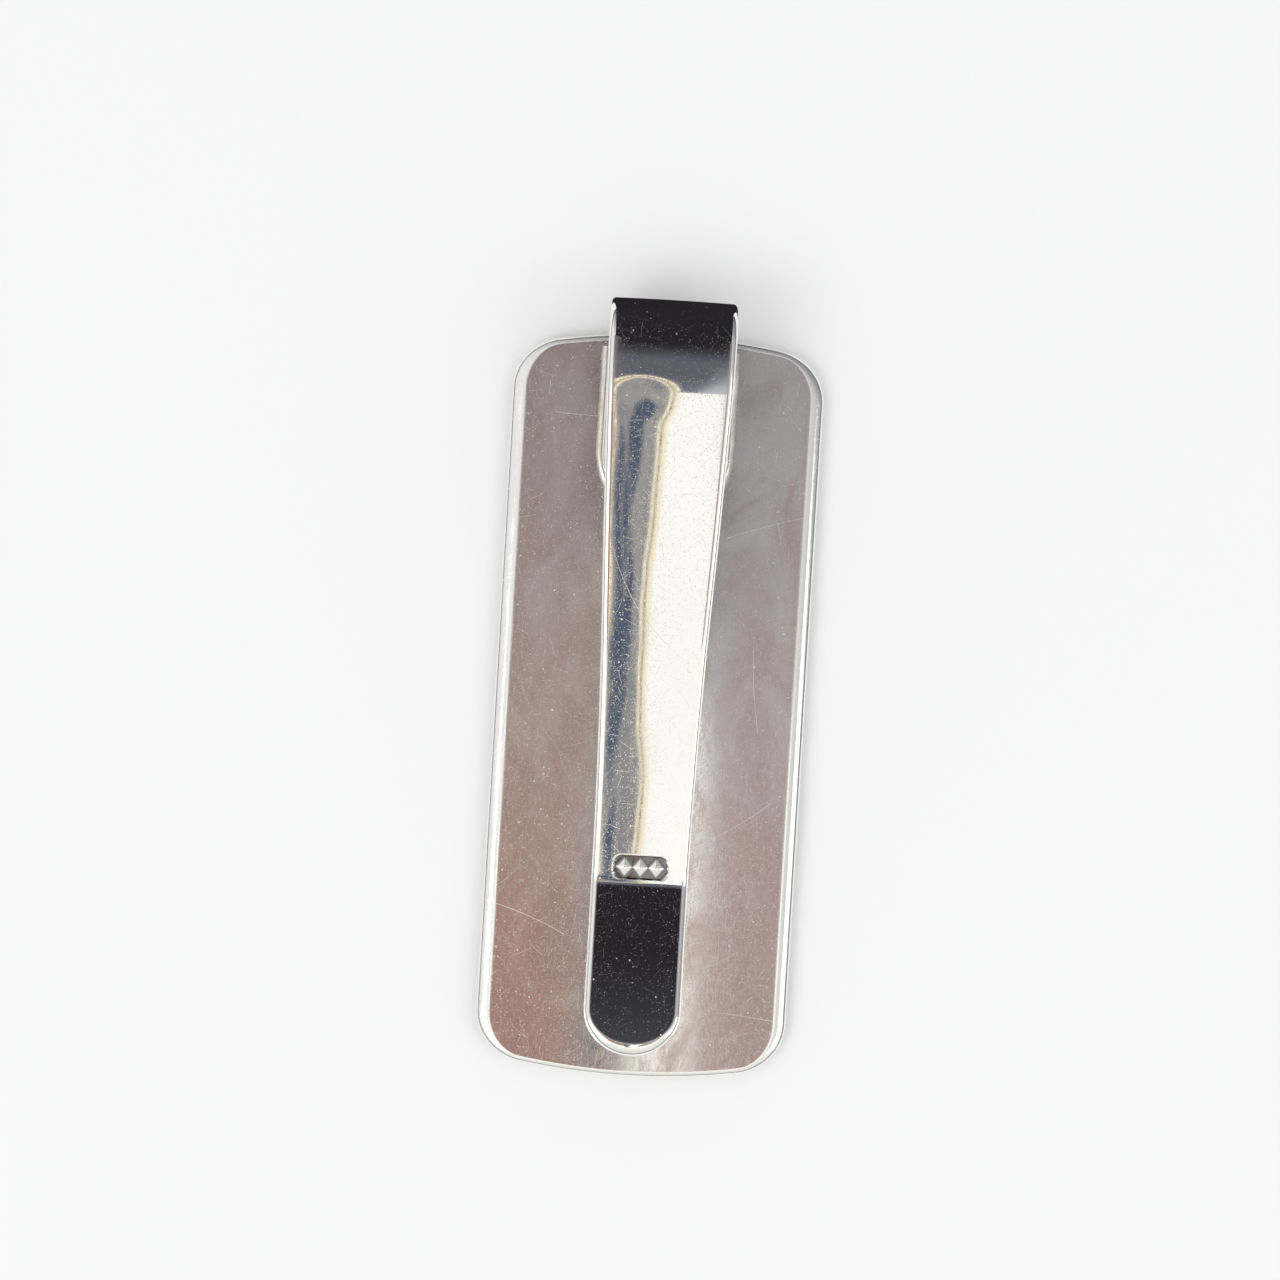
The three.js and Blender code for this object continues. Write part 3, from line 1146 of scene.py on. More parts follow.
@dataclass(frozen=True)
class SilverFinish:
    """One silver finish. Colours are linear, and lengths in the scratches are in millimetres."""

    name: str
    bright: Colour = (0.955, 0.95, 0.93)
    # Tint of the faces: tone, and on the handled plate also a painted reflection of brown-mauve
    # surroundings.
    tone_and_reflection_tint: Colour = (0.88, 0.86, 0.82)
    tone_and_reflection_amount: tuple[float, float] = (0.0, 0.3)
    # Colour that the deep field of the struck mark is darkened towards, and how far: painted shade in the
    # recess.
    painted_recess_shade: Colour = (0.10, 0.09, 0.09)
    recess_shade_strength: float = 0.85
    tone_and_reflection_above: float = -1.0
    rough: tuple[float, float] = (0.015, 0.04)
    scratch_rough: float = 0.3
    scratch_depth: float = 0.0004 * MM
    hairlines: tuple[Hairlines, ...] = (
        Hairlines(cells=6.0, width=0.008, share=0.6, curve=0.4, strength=0.22),
        Hairlines(cells=1.6, width=0.009, share=0.4, curve=0.3, strength=0.45),
        Hairlines(cells=0.16, width=0.018, share=0.4, curve=0.12, strength=0.9),
    )
    speck_share: float = 0.35
    speck_rough: float = 0.5
    haze: float = 0.16
    grain_depth: float = 0.00002 * MM
    smear_scale: float = 0.3
    seed: float = 0.0

    def _group(
        self, tree: NodeTree, effect: bpy.types.NodeTree, values: dict[str, float]
    ) -> bpy.types.Node:
        """Places an effect's group with its values.

        Args:
            tree: The material's tree.
            effect: The group.
            values: The group's inputs by name.

        Returns:
            The group's node.
        """
        node = tree.add("ShaderNodeGroup", node_tree=effect)
        for key, value in values.items():
            node.inputs[key].default_value = value
        return node

    def _scratches(self, tree: NodeTree, effect: bpy.types.NodeTree) -> bpy.types.NodeSocket:
        """All sets of scratches as one mask.

        Args:
            tree: The material's tree.
            effect: The scratches' group.

        Returns:
            The mask.
        """
        total: bpy.types.NodeSocket | None = None
        for number, lines in enumerate(self.hairlines):
            values = {
                "Cells": lines.cells,
                "Width": lines.width,
                "Share": lines.share,
                "Curve": lines.curve,
                "Seed": self.seed + SCRATCH_SEED * number,
            }
            mask = self._group(tree, effect, values).outputs["Mask"]
            mask = tree.math("MULTIPLY", mask, lines.strength)
            total = mask if total is None else tree.math("MAXIMUM", total, mask)
        return total

    def material(self, effects: dict[str, bpy.types.NodeTree]) -> bpy.types.Material:
        """Builds the material.

        Args:
            effects: The shared shader groups by name.

        Returns:
            The material.
        """
        made = bpy.data.materials.new(self.name)
        tree = emptied_tree(made)
        scratches = self._scratches(tree, effects["hairlines"])
        pits = {"Share": self.speck_share, "Seed": self.seed}
        specks = self._group(tree, effects["specks"], pits).outputs["Mask"]
        fine = {**HAZE_SPECKS, "Seed": self.seed + HAZE_SEED}
        haze = self._group(tree, effects["specks"], fine).outputs["Mask"]
        broad = {"Smear Scale": self.smear_scale, "Seed": self.seed + HANDLING_SEED}
        handling = self._group(tree, effects["handling"], broad)
        grain, smear = handling.outputs["Grain"], handling.outputs["Smear"]

        height_up = tree.add("ShaderNodeSeparateXYZ", {0: millimetres(tree)}).outputs["Z"]
        # The tint is toning; on the plate's top face it is also a painted reflection of brown-mauve
        # surroundings, and it is kept off the rims.
        above = tree.ramp(height_up, self.tone_and_reflection_above - TONE_AND_REFLECTION_FADE, self.tone_and_reflection_above + TONE_AND_REFLECTION_FADE)
        on_rim = tree.add("ShaderNodeAttribute", attribute_name="rim").outputs["Fac"]
        on_face = tree.math("MULTIPLY", above, tree.math("SUBTRACT", 1.0, on_rim))
        tone_and_reflection_tint = tree.math("MULTIPLY", tree.ramp(smear, *TONE_AND_REFLECTION_RANGE, *self.tone_and_reflection_amount), on_face)
        silver = tree.mix(tone_and_reflection_tint, opaque(self.bright), opaque(self.tone_and_reflection_tint))
        # Painted shade: the deepest part of the struck mark is darkened towards a near-black colour, and the
        # raised pips are left bright.
        struck = tree.add("ShaderNodeAttribute", attribute_name="strike").outputs["Fac"]
        painted_recess_shade = tree.ramp(struck, *RECESS_SHADE_DEPTHS, 0.0, self.recess_shade_strength)
        colour = tree.mix(painted_recess_shade, silver, opaque(self.painted_recess_shade))

        rubbed = tree.ramp(grain, *RUBBED, *self.rough)
        smeared = tree.math("MULTIPLY", tree.ramp(smear, *SMEARED), self.rough[1] - self.rough[0])
        rough = tree.math("ADD", rubbed, smeared)
        worn = ((scratches, self.scratch_rough), (specks, self.speck_rough), (haze, self.haze))
        for mask, amount in worn:
            rough = tree.math("ADD", rough, tree.math("MULTIPLY", mask, amount))
        height = tree.math(
            "SUBTRACT",
            tree.math("MULTIPLY", grain, self.grain_depth),
            tree.math("MULTIPLY", tree.math("MAXIMUM", scratches, specks), self.scratch_depth),
        )
        bump = tree.add("ShaderNodeBump", {"Height": height, "Strength": 1.0, "Distance": 1.0})
        inputs = {"Base Color": colour, "Metallic": 1.0, "Roughness": rough, "Normal": bump.outputs[0]}
        shader = tree.add("ShaderNodeBsdfPrincipled", inputs)
        tree.add("ShaderNodeOutputMaterial", {"Surface": shader.outputs[0]})
        return made


POLISHED = SilverFinish("polished silver", seed=1.0)
# The plate's pink-brown tint on its top face is partly toning and partly painted reflection of brown-mauve
# surroundings.
HANDLED = SilverFinish(
    "handled silver",
    tone_and_reflection_tint=(0.70, 0.58, 0.54),
    tone_and_reflection_amount=(0.1, 0.8),
    tone_and_reflection_above=0.9,
    rough=(0.06, 0.15),
    scratch_rough=0.35,
    hairlines=(
        Hairlines(cells=5.0, width=0.01, share=0.7, curve=0.3, strength=0.4),
        Hairlines(cells=1.0, width=0.012, share=0.35, curve=0.3, strength=0.6),
        Hairlines(cells=0.22, width=0.02, share=0.5, curve=0.1, strength=0.9),
    ),
    speck_share=0.5,
    smear_scale=0.35,
    seed=4.0,
)
SOLDER = SilverFinish(
    "silver solder",
    bright=(0.80, 0.79, 0.75),
    tone_and_reflection_tint=(0.58, 0.55, 0.49),
    tone_and_reflection_amount=(0.2, 0.8),
    rough=(0.2, 0.36),
    grain_depth=0.002 * MM,
    smear_scale=1.2,
    seed=9.0,
)


# --------------------------------------------------------------------------------------
# Pieces
# --------------------------------------------------------------------------------------


def dress(made: bpy.types.Object, replaces: str) -> None:
    """Smooths a piece but for its cut ends, and hides the frame's node that it stands for.

    Args:
        made: The piece.
        replaces: The node that it stands for.
    """
    made.data.shade_smooth()
    made.data.set_sharp_from_angle(angle=CREASE)
    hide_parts(replaces)


@dataclass
class FrontPlate:
    """The wide plate that the notes lie against."""

    sizes: PlateSizes
    material: bpy.types.Material
    tree: bpy.types.NodeTree
    unevenness: float = 0.004 * MM
    wave_length: float = 9 * MM
    crown_radius: float = 200 * MM
    bow_points: int = 36
    corner_points: int = 28
    side_step: float = 0.5 * MM
    show_columns: int = 60
    back_columns: int = 80
    seed: float = 2.0

    def _edge(self) -> np.ndarray:
        """The right-hand edge from the free end to the end under the bend.

        Returns:
            The edge's (half width, station) points.
        """
        size = self.sizes
        corner_x = size.width / 2 - size.corner_radius
        inner = size.end_radius - size.corner_radius
        join = math.asin(corner_x / inner)
        corner_y = size.length / 2 - size.end_radius + inner * math.cos(join)
        bow = np.linspace(0, join, self.bow_points)
        bow_x = np.sin(bow) * size.end_radius
        bow_y = size.end_radius - size.length / 2 - np.cos(bow) * size.end_radius
        turn = np.linspace(join, math.pi / 2, self.corner_points)[1:]
        turn_x = corner_x + size.corner_radius * np.sin(turn)
        turn_y = -corner_y - size.corner_radius * np.cos(turn)
        free_end = np.vstack([np.column_stack([bow_x, bow_y]), np.column_stack([turn_x, turn_y])])
        side = evenly(-corner_y, corner_y, self.side_step)[1:]
        straight = np.column_stack([np.full(len(side), size.width / 2), side])
        return np.vstack([free_end, straight, free_end[::-1] * (1, -1)])

    def _rim(self, out: np.ndarray) -> np.ndarray:
        """The rim is wide along the sides and narrow at the ends."""
        return self.sizes.end_rim + (self.sizes.side_rim - self.sizes.end_rim) * out[:, 0] ** 2

    def build(self) -> bpy.types.Object:
        """Builds the plate and lays it in its place.

        Returns:
            The plate.
        """
        size = self.sizes
        blank = Blank(
            "plate_sheet",
            self._edge(),
            size.thickness,
            show_rim=self._rim,
            back_rim=self._rim,
            show_crown=self.crown_radius,
            back_crown=self.crown_radius,
            show_columns=self.show_columns,
            back_columns=self.back_columns,
        )
        values = {
            "Middle": (0.0, size.middle_y, size.thickness / 2),
            **finish_values(self),
        }
        made = shape_with(blank.build(), self.tree, values)
        dress(made, "front_plate")
        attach(made, Body.PLATE.value)
        return made


@dataclass
class SpringStrip:
    """The strip that is soldered to the plate, doubles back and presses the notes."""

    sizes: StripSizes
    material: bpy.types.Material
    tree: bpy.types.NodeTree
    unevenness: float = 0.005 * MM
    wave_length: float = 5 * MM
    crown_radius: float = 170 * MM
    tip_rim: float = 0.72 * MM
    mark_from_kink: float = 0.42 * MM
    mark_margin: float = 0.75
    foot_columns: int = 24
    foot_end_points: int = 40
    tip_points: int = 60
    foot_step: float = 0.3 * MM
    bend_step: float = 0.08 * MM
    arch_step: float = 0.12 * MM
    run_step: float = 0.2 * MM
    mark_step: float = 0.035 * MM
    kink_step: float = 0.05 * MM
    blend_lean: float = 0.3
    blend_start: float = 0.3 * MM
    blend_margin: float = 0.5 * MM
    seed: float = 6.0

    def _sides(self, stations: np.ndarray) -> np.ndarray:
        """The right-hand edge at stations."""
        return np.column_stack([self.sizes.half_width(stations), stations])

    def _even_rim(self, out: np.ndarray) -> np.ndarray:
        """A rim of the same width all round."""
        return np.full(len(out), self.sizes.rim)

    def _tip_rim(self, out: np.ndarray) -> np.ndarray:
        """A rim that is filed wider round the tip."""
        return self.sizes.rim + (self.tip_rim - self.sizes.rim) * np.clip(out[:, 1], 0, 1) ** 2

    def _bend(self, made: bpy.types.Object) -> bpy.types.Object:
        """Bends a blank along the strip's middle line.

        Args:
            made: The object that holds the blank.

        Returns:
            The same object, bent.
        """
        size, at = self.sizes, self.sizes.stations
        bend, arch, kink = size.turns
        values = {
            "Start": (0.0, size.foot_y, size.start_z),
            "Length": at["tip"],
            "Bend Start": at["bend"],
            "Bend Length": at["arch"] - at["bend"],
            "Bend Turn": bend,
            "Arch Start": at["arch"],
            "Arch Length": at["run"] - at["arch"],
            "Arch Turn": arch,
            "Kink Start": at["kink"],
            "Kink Length": at["flare"] - at["kink"],
            "Kink Turn": -kink,
            **finish_values(self),
        }
        return shape_with(made, self.tree, values)

    def _blank(self, name: str, edge: np.ndarray, **settings: object) -> Blank:
        """A blank of the strip's thickness and crown.

        Args:
            name: The piece's name.
            edge: Its right-hand edge.
            settings: What else the blank is given.

        Returns:
            The blank.
        """
        return Blank(
            name,
            edge,
            self.sizes.thickness,
            back_rim=self._even_rim,
            show_crown=self.crown_radius,
            **settings,
        )

    def foot_edge(self) -> np.ndarray:
        """The right-hand edge of the foot, from its rounded end to the bend.

        Returns:
            The edge's (half width, station) points.
        """
        size = self.sizes
        half = size.bend_width / 2
        stations = np.append(evenly(half, size.foot_length, self.foot_step)[1:], size.foot_length)
        return np.vstack([round_end(half, half, self.foot_end_points), self._sides(stations)])

    def build_foot(self) -> bpy.types.Object:
        """Builds the straight run on the plate, up to the bend.

        Returns:
            The foot.
        """
        blank = self._blank(
            "strip_foot", self.foot_edge(), show_rim=self._even_rim, show_columns=self.foot_columns
        )
        made = self._bend(blank.build())
        dress(made, "spring_foot")
        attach(made, Body.PLATE.value)
        return made

    def build_tongue(self) -> bpy.types.Object:
        """Builds the bend and the tongue.

        Returns:
            The bend and the tongue, as one piece.
        """
        size, at = self.sizes, self.sizes.stations
        mark = StruckMark(at["kink"] - self.mark_from_kink)
        mark_from = mark.station - mark.length * self.mark_margin
        mark_to = mark.station + mark.length * self.mark_margin
        stations = np.concatenate(
            [
                evenly(at["bend"], at["arch"], self.bend_step),
                evenly(at["arch"], at["run"], self.arch_step),
                evenly(at["run"], mark_from, self.run_step),
                evenly(mark_from, mark_to, self.mark_step),
                evenly(mark_to, at["flare"], self.kink_step),
                evenly(at["flare"], at["tip"] - size.tip_round, self.run_step),
            ]
        )
        tip = round_end(size.tip_width / 2, size.tip_round, self.tip_points)[::-1]
        tip_edge = np.column_stack([tip[:, 0], at["tip"] - tip[:, 1]])
        edge = np.vstack([self._sides(stations), tip_edge])
        blank = self._blank("strip_tongue", edge, show_rim=self._tip_rim, mark=mark)
        made = self._bend(blank.build())
        dress(made, "spring_tongue")
        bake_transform(made)
        return made


@dataclass
class SolderBead:
    """The solder that ran out round the foot when the strip was joined to the plate."""

    strip: SpringStrip
    material: bpy.types.Material
    leg: float = 0.4 * MM
    rise: float = 0.36 * MM
    sunk: float = 0.06 * MM
    base_depth: float = 0.08 * MM
    tuck: float = 0.35 * MM
    end_margin: float = 0.15 * MM
    inset: float = 0.06 * MM
    film_overlap: float = 0.05 * MM
    end_size: float = 0.45
    end_share: float = 0.06
    unevenness: float = 0.05 * MM
    wave_length: float = 1.3 * MM
    seed: float = 12.0

    @property
    def base(self) -> float:
        """Height of the solder's base, a little under the plate's face."""
        return self.strip.sizes.plate_top - self.base_depth

    def _outline(self) -> bpy.types.Object:
        """The foot's outline as a row of edges, from left round to right.

        Returns:
            The object that holds it.
        """
        size = self.strip.sizes
        edge = self.strip.foot_edge()
        edge = edge[edge[:, 1] < size.foot_length - self.end_margin]
        right = edge - (self.inset, 0.0)
        right[:, 0] = np.maximum(right[:, 0], 0.0)
        points = np.vstack([right[:0:-1] * (-1, 1), right])
        place = [(x, size.foot_y + station, self.base) for x, station in points]
        mesh = bpy.data.meshes.new("solder_bead")
        mesh.from_pydata(place, [(i, i + 1) for i in range(len(place) - 1)], [])
        return new_object("solder_bead", mesh)

    def build(self) -> bpy.types.Object:
        """Builds the bead and the film.

        Returns:
            Both as one piece.
        """
        size = self.strip.sizes
        values = {
            "Leg": self.leg,
            "Rise": self.rise,
            "Sunk": self.sunk,
            "Tuck": self.tuck,
            "Base": self.base,
            "Film": size.foot_z + self.film_overlap - self.base,
            "End Size": self.end_size,
            "End Share": self.end_share,
            **finish_values(self),
        }
        made = shape_with(self._outline(), solder_bead_tree(), values)
        close_mesh(made.data)
        dress(made, "solder_seam")
        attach(made, Body.PLATE.value)
        return made


# --------------------------------------------------------------------------------------
# Studio
# --------------------------------------------------------------------------------------


@dataclass(frozen=True)
class Viewpoint:
    """The camera, by how far it leans from straight above and what it looks at."""

    lean_x: float = math.radians(-0.94)
    lean_y: float = math.radians(2.05)
    roll: float = math.radians(3.43)
    aim: Place = (-0.778 * MM, 2.813 * MM, 3.0 * MM)
    distance: float = 220 * MM
    view_width: float = 69.2 * MM
    sensor: float = 36.0
    nearest: float = 0.01
    farthest: float = 10.0

    def place(self) -> None:
        """Makes the camera and makes it the scene's."""
        x, y = math.sin(self.lean_x), math.sin(self.lean_y)
        back = Vector((x, y, math.sqrt(1 - x * x - y * y)))
        right = Vector((0, 1, 0)).cross(back).normalized()
        up = back.cross(right)
        turned_right = right * math.cos(self.roll) + up * math.sin(self.roll)
        turned_up = up * math.cos(self.roll) - right * math.sin(self.roll)
        data = bpy.data.cameras.new("camera")
        data.sensor_width = self.sensor
        data.lens = self.sensor * self.distance / self.view_width
        data.clip_start, data.clip_end = self.nearest, self.farthest
        made = bpy.data.objects.new("camera", data)
        axes = Matrix((turned_right, turned_up, back)).transposed().to_4x4()
        made.matrix_world = Matrix.Translation(Vector(self.aim) + back * self.distance) @ axes
        bpy.context.scene.collection.objects.link(made)
        bpy.context.scene.camera = made


def stage_for_reflections(made: bpy.types.Object) -> None:
    """Marks an object as stage, and hides it from everything but mirror-like reflections.

    Args:
        made: The object.
    """
    made.visible_camera = made.visible_diffuse = made.visible_shadow = False
    made.visible_transmission = made.visible_volume_scatter = False


WHITE = (1.03, 1.03, 0.98)
PALE = (0.85, 0.85, 0.81)
DULL_WHITE = (0.7, 0.69, 0.66)
CREAM = (0.97, 0.87, 0.66)
BROWN = (0.30, 0.24, 0.18)
GREY = (0.33, 0.32, 0.32)
NAVY = (0.075, 0.10, 0.155)
RUSSET = (0.39, 0.245, 0.20)
RUSSET_GREY = (0.4, 0.33, 0.31)
DUSK = (0.2, 0.19, 0.2)
MAUVE = (0.42, 0.33, 0.31)
MAUVE_GREY = (0.44, 0.4, 0.4)
BLUE_DUSK = (0.22, 0.22, 0.24)
SLATE = (0.115, 0.12, 0.15)
SLATE_EDGE = (0.16, 0.17, 0.215)
SHADE = (0.045, 0.045, 0.053)
SHEEN = (0.6, 0.63, 0.68)
SOOT = (0.02, 0.018, 0.021)


@dataclass(frozen=True)
class ReflectedCard:
    """A glowing card on an arc over the clip, seen only as a reflection in polished metal.

    Turns are in degrees from straight up, and positive towards the closed end. Edges are in
    millimetres across, at a few turns. A card of a smaller radius hides those behind it. A card that
    grows gets wider by so many metres on each side, and longer at both ends to match.
    """

    name: str
    turns: tuple[float, ...]
    left: tuple[float, ...]
    right: tuple[float, ...]
    colours: tuple[tuple[float, Colour], ...]
    radius: float = 404 * MM
    round_ends: float = 0.0
    grow: float = 0.0
    streaks: float = 0.0
    melts_into: Colour | None = None
    melt_depth: float = 0.5
    degrees_per_grow: float = 180.0
    streak_scale: tuple[float, float, float] = (140.0, 22.0, 22.0)
    streaked: tuple[float, float] = (0.42, 0.62)
    columns: int = 24
    rows: int = 120

    def _material(self) -> bpy.types.Material:
        """A glow that changes along the arc, with soft streaks.

        Returns:
            The material.
        """
        made = bpy.data.materials.new(self.name)
        tree = emptied_tree(made)
        place = tree.add("ShaderNodeTexCoord").outputs["Object"]
        parts = tree.add("ShaderNodeSeparateXYZ", {0: place}).outputs
        turn = tree.math("DEGREES", tree.math("ARCTAN2", parts["Y"], parts["Z"]))
        low, high = self.turns[0], self.turns[-1]
        share = tree.ramp(turn, low, high, smooth=False)
        ramp = tree.add("ShaderNodeValToRGB", {"Fac": share})
        stops = ramp.color_ramp.elements
        while len(stops) < len(self.colours):
            stops.new(0.5)
        for stop, (at, colour) in zip(stops, self.colours):
            stop.position = (at - low) / (high - low)
            stop.color = opaque(colour)
        glow = ramp.outputs[0]
        if self.streaks:
            drawn = tree.add("ShaderNodeMapping", {"Vector": place, "Scale": self.streak_scale})
            noise = tree.add("ShaderNodeTexNoise", {"Vector": drawn.outputs[0], "Scale": 1.0, "Detail": 2.0})
            streak = tree.ramp(noise.outputs[0], *self.streaked, 0.0, self.streaks)
            glow = tree.mix(streak, glow, opaque(NAVY))
        if self.melts_into is not None:
            inside = tree.add("ShaderNodeAttribute", attribute_name="inside").outputs["Fac"]
            melted = tree.ramp(inside, 0.0, self.melt_depth, 1.0, 0.0)
            glow = tree.mix(melted, glow, opaque(self.melts_into))
        shader = tree.add("ShaderNodeEmission", {"Color": glow})
        tree.add("ShaderNodeOutputMaterial", {"Surface": shader.outputs[0]})
        return made

    def build(self) -> None:
        """Builds the card and hides it from everything but reflections."""
        grow_turn = self.grow * self.degrees_per_grow
        turns = np.linspace(self.turns[0] - grow_turn, self.turns[-1] + grow_turn, self.rows + 1)
        within = np.clip(turns, self.turns[0], self.turns[-1])
        left = smooth_through(np.array(self.turns), np.array(self.left), within) * MM - self.grow
        right = smooth_through(np.array(self.turns), np.array(self.right), within) * MM + self.grow
        inside = np.ones_like(turns)
        if self.round_ends:
            inside = np.clip(np.minimum(turns - turns[0], turns[-1] - turns) / self.round_ends, 0, 1)
            width = np.sqrt(1 - (1 - inside) ** 2)
            middle = (left + right) / 2
            left, right = middle + (left - middle) * width, middle + (right - middle) * width
        share = np.linspace(0, 1, self.columns + 1)
        across = left[:, None] + (right - left)[:, None] * share
        angle = np.radians(turns)[:, None] + 0 * across
        points = np.stack([across, self.radius * np.sin(angle), self.radius * np.cos(angle)], axis=2)
        index = np.arange(points.shape[0] * points.shape[1]).reshape(points.shape[:2])
        quads = np.stack([index[:-1, :-1], index[:-1, 1:], index[1:, 1:], index[1:, :-1]], axis=2)
        mesh = bpy.data.meshes.new(self.name)
        mesh.from_pydata(points.reshape(-1, 3).tolist(), [], quads.reshape(-1, 4).tolist())
        depth = inside[:, None] * (1 - np.abs(2 * share - 1))
        mesh.attributes.new("inside", "FLOAT", "POINT").data.foreach_set("value", depth.ravel())
        mesh.materials.append(self._material())
        stage_for_reflections(new_object(self.name, mesh))


# Where the bright card ends and the dark one starts.
EDGE_TURN = -3.3

# The run of the long rounded grey shape.
PILL_TURNS = (-23.0, -20.0, -17.0, -13.0, -8.0, 0.0)
PILL_LEFT = (-9.5, -9.5, -10.5, -12.0, -13.0, -13.0)
PILL_RIGHT = (2.0, 5.0, 1.0, 3.0, 6.5, 8.0)


def pill_card(name: str, grow: float, radius: float, colour: Colour, streaks: float = 0.0) -> ReflectedCard:
    """One layer of the long rounded grey shape that the tongue mirrors on its left.

    Args:
        name: The card's name.
        grow: How much wider all round it is than the grey shape itself.
        radius: The radius of its arc.
        colour: Its colour.
        streaks: How strong its streaks are.

    Returns:
        The card.
    """
    return ReflectedCard(
        name,
        PILL_TURNS,
        PILL_LEFT,
        PILL_RIGHT,
        ((PILL_TURNS[0], colour), (PILL_TURNS[-1], colour)),
        radius=radius,
        round_ends=3.8,
        grow=grow,
        streaks=streaks,
    )


def navy_card(
    name: str, turns: tuple[float, ...], left: tuple[float, ...], right: tuple[float, ...]
) -> ReflectedCard:
    """A dark blue patch that melts into the grey shape behind it.

    Args:
        name: The card's name.
        turns: The turns at which its edges are given.
        left: Its left edge at each.
        right: Its right edge at each.

    Returns:
        The card.
    """
    stops = ((turns[0], NAVY), (turns[-1], NAVY))
    return ReflectedCard(name, turns, left, right, stops, radius=398 * MM, round_ends=3.0, melts_into=GREY)


CARDS = (
    ReflectedCard(
        "bright_card",
        turns=(-75.0, EDGE_TURN),
        left=(-120.0, -120.0),
        right=(140.0, 140.0),
        colours=((-75.0, DULL_WHITE), (-40.0, PALE), (-24.0, WHITE), (EDGE_TURN, WHITE)),
        radius=403.2 * MM,
    ),
    ReflectedCard(
        "dark_card",
        turns=(EDGE_TURN, 100.0),
        left=(-24.0, -24.0),
        right=(42.0, 42.0),
        colours=(
            (EDGE_TURN, SLATE_EDGE),
            (1.0, SLATE),
            (5.0, SLATE),
            (7.8, SHADE),
            (9.5, SOOT),
            (100.0, SOOT),
        ),
    ),
    ReflectedCard(
        "sheen_card",
        turns=(-8.0, 4.0),
        left=(8.0, 26.0),
        right=(60.0, 60.0),
        colours=((-8.0, SHEEN), (-4.5, SHEEN), (4.0, SLATE)),
        radius=403.6 * MM,
        melts_into=SLATE_EDGE,
    ),
    ReflectedCard(
        "left_card",
        turns=(-17.0, 12.0),
        left=(-70.0, -70.0),
        right=(-14.8, -14.8),
        colours=((-17.0, RUSSET), (-8.5, RUSSET), (-3.0, RUSSET_GREY), (12.0, DUSK)),
        radius=402.5 * MM,
    ),
    ReflectedCard(
        "right_card",
        turns=(-17.0, 12.0),
        left=(30.4, 30.4),
        right=(90.0, 90.0),
        colours=((-17.0, MAUVE), (-8.5, MAUVE), (-3.0, MAUVE_GREY), (12.0, BLUE_DUSK)),
        radius=402.5 * MM,
    ),
    pill_card("pill_cream_outer", 4.0 * MM, 403 * MM, CREAM),
    pill_card("pill_brown", 2.1 * MM, 402 * MM, BROWN),
    pill_card("pill_cream_inner", 1.2 * MM, 401 * MM, CREAM),
    pill_card("pill_grey", 0.0, 400 * MM, GREY, streaks=0.35),
    navy_card(
        "navy_blob",
        turns=(-16.0, -12.5, -10.0, -7.0, -4.5),
        left=(-7.5, -8.5, -8.0, -6.5, -4.5),
        right=(-4.5, -1.0, 3.0, 4.0, 1.5),
    ),
    navy_card(
        "navy_left",
        turns=(-21.0, -18.0, -15.0, -13.0, -11.0),
        left=(-10.0, -10.5, -11.0, -12.5, -13.0),
        right=(-5.0, -1.5, -1.5, -6.0, -9.5),
    ),
    navy_card(
        "navy_low",
        turns=(-23.0, -21.0, -19.0),
        left=(-8.0, -8.5, -8.5),
        right=(-3.0, -2.5, -3.5),
    ),
)


@dataclass(frozen=True)
class Softbox:
    """A square softbox that looks at the clip."""

    name: str
    place: Place
    size: float
    power: float

    def build(self) -> None:
        """Hangs the softbox."""
        data = bpy.data.lights.new(self.name, "AREA")
        data.shape, data.size, data.energy = "SQUARE", self.size, self.power
        made = bpy.data.objects.new(self.name, data)
        made.location = self.place
        made.rotation_mode = "QUATERNION"
        made.rotation_quaternion = (-Vector(self.place)).to_track_quat("-Z", "Y")
        bpy.context.scene.collection.objects.link(made)


SOFTBOXES = (
    Softbox("key", place=(-0.5, -0.35, 0.7), size=0.5, power=1.6),
    Softbox("fill", place=(0.6, -0.2, 0.5), size=0.4, power=0.6),
)


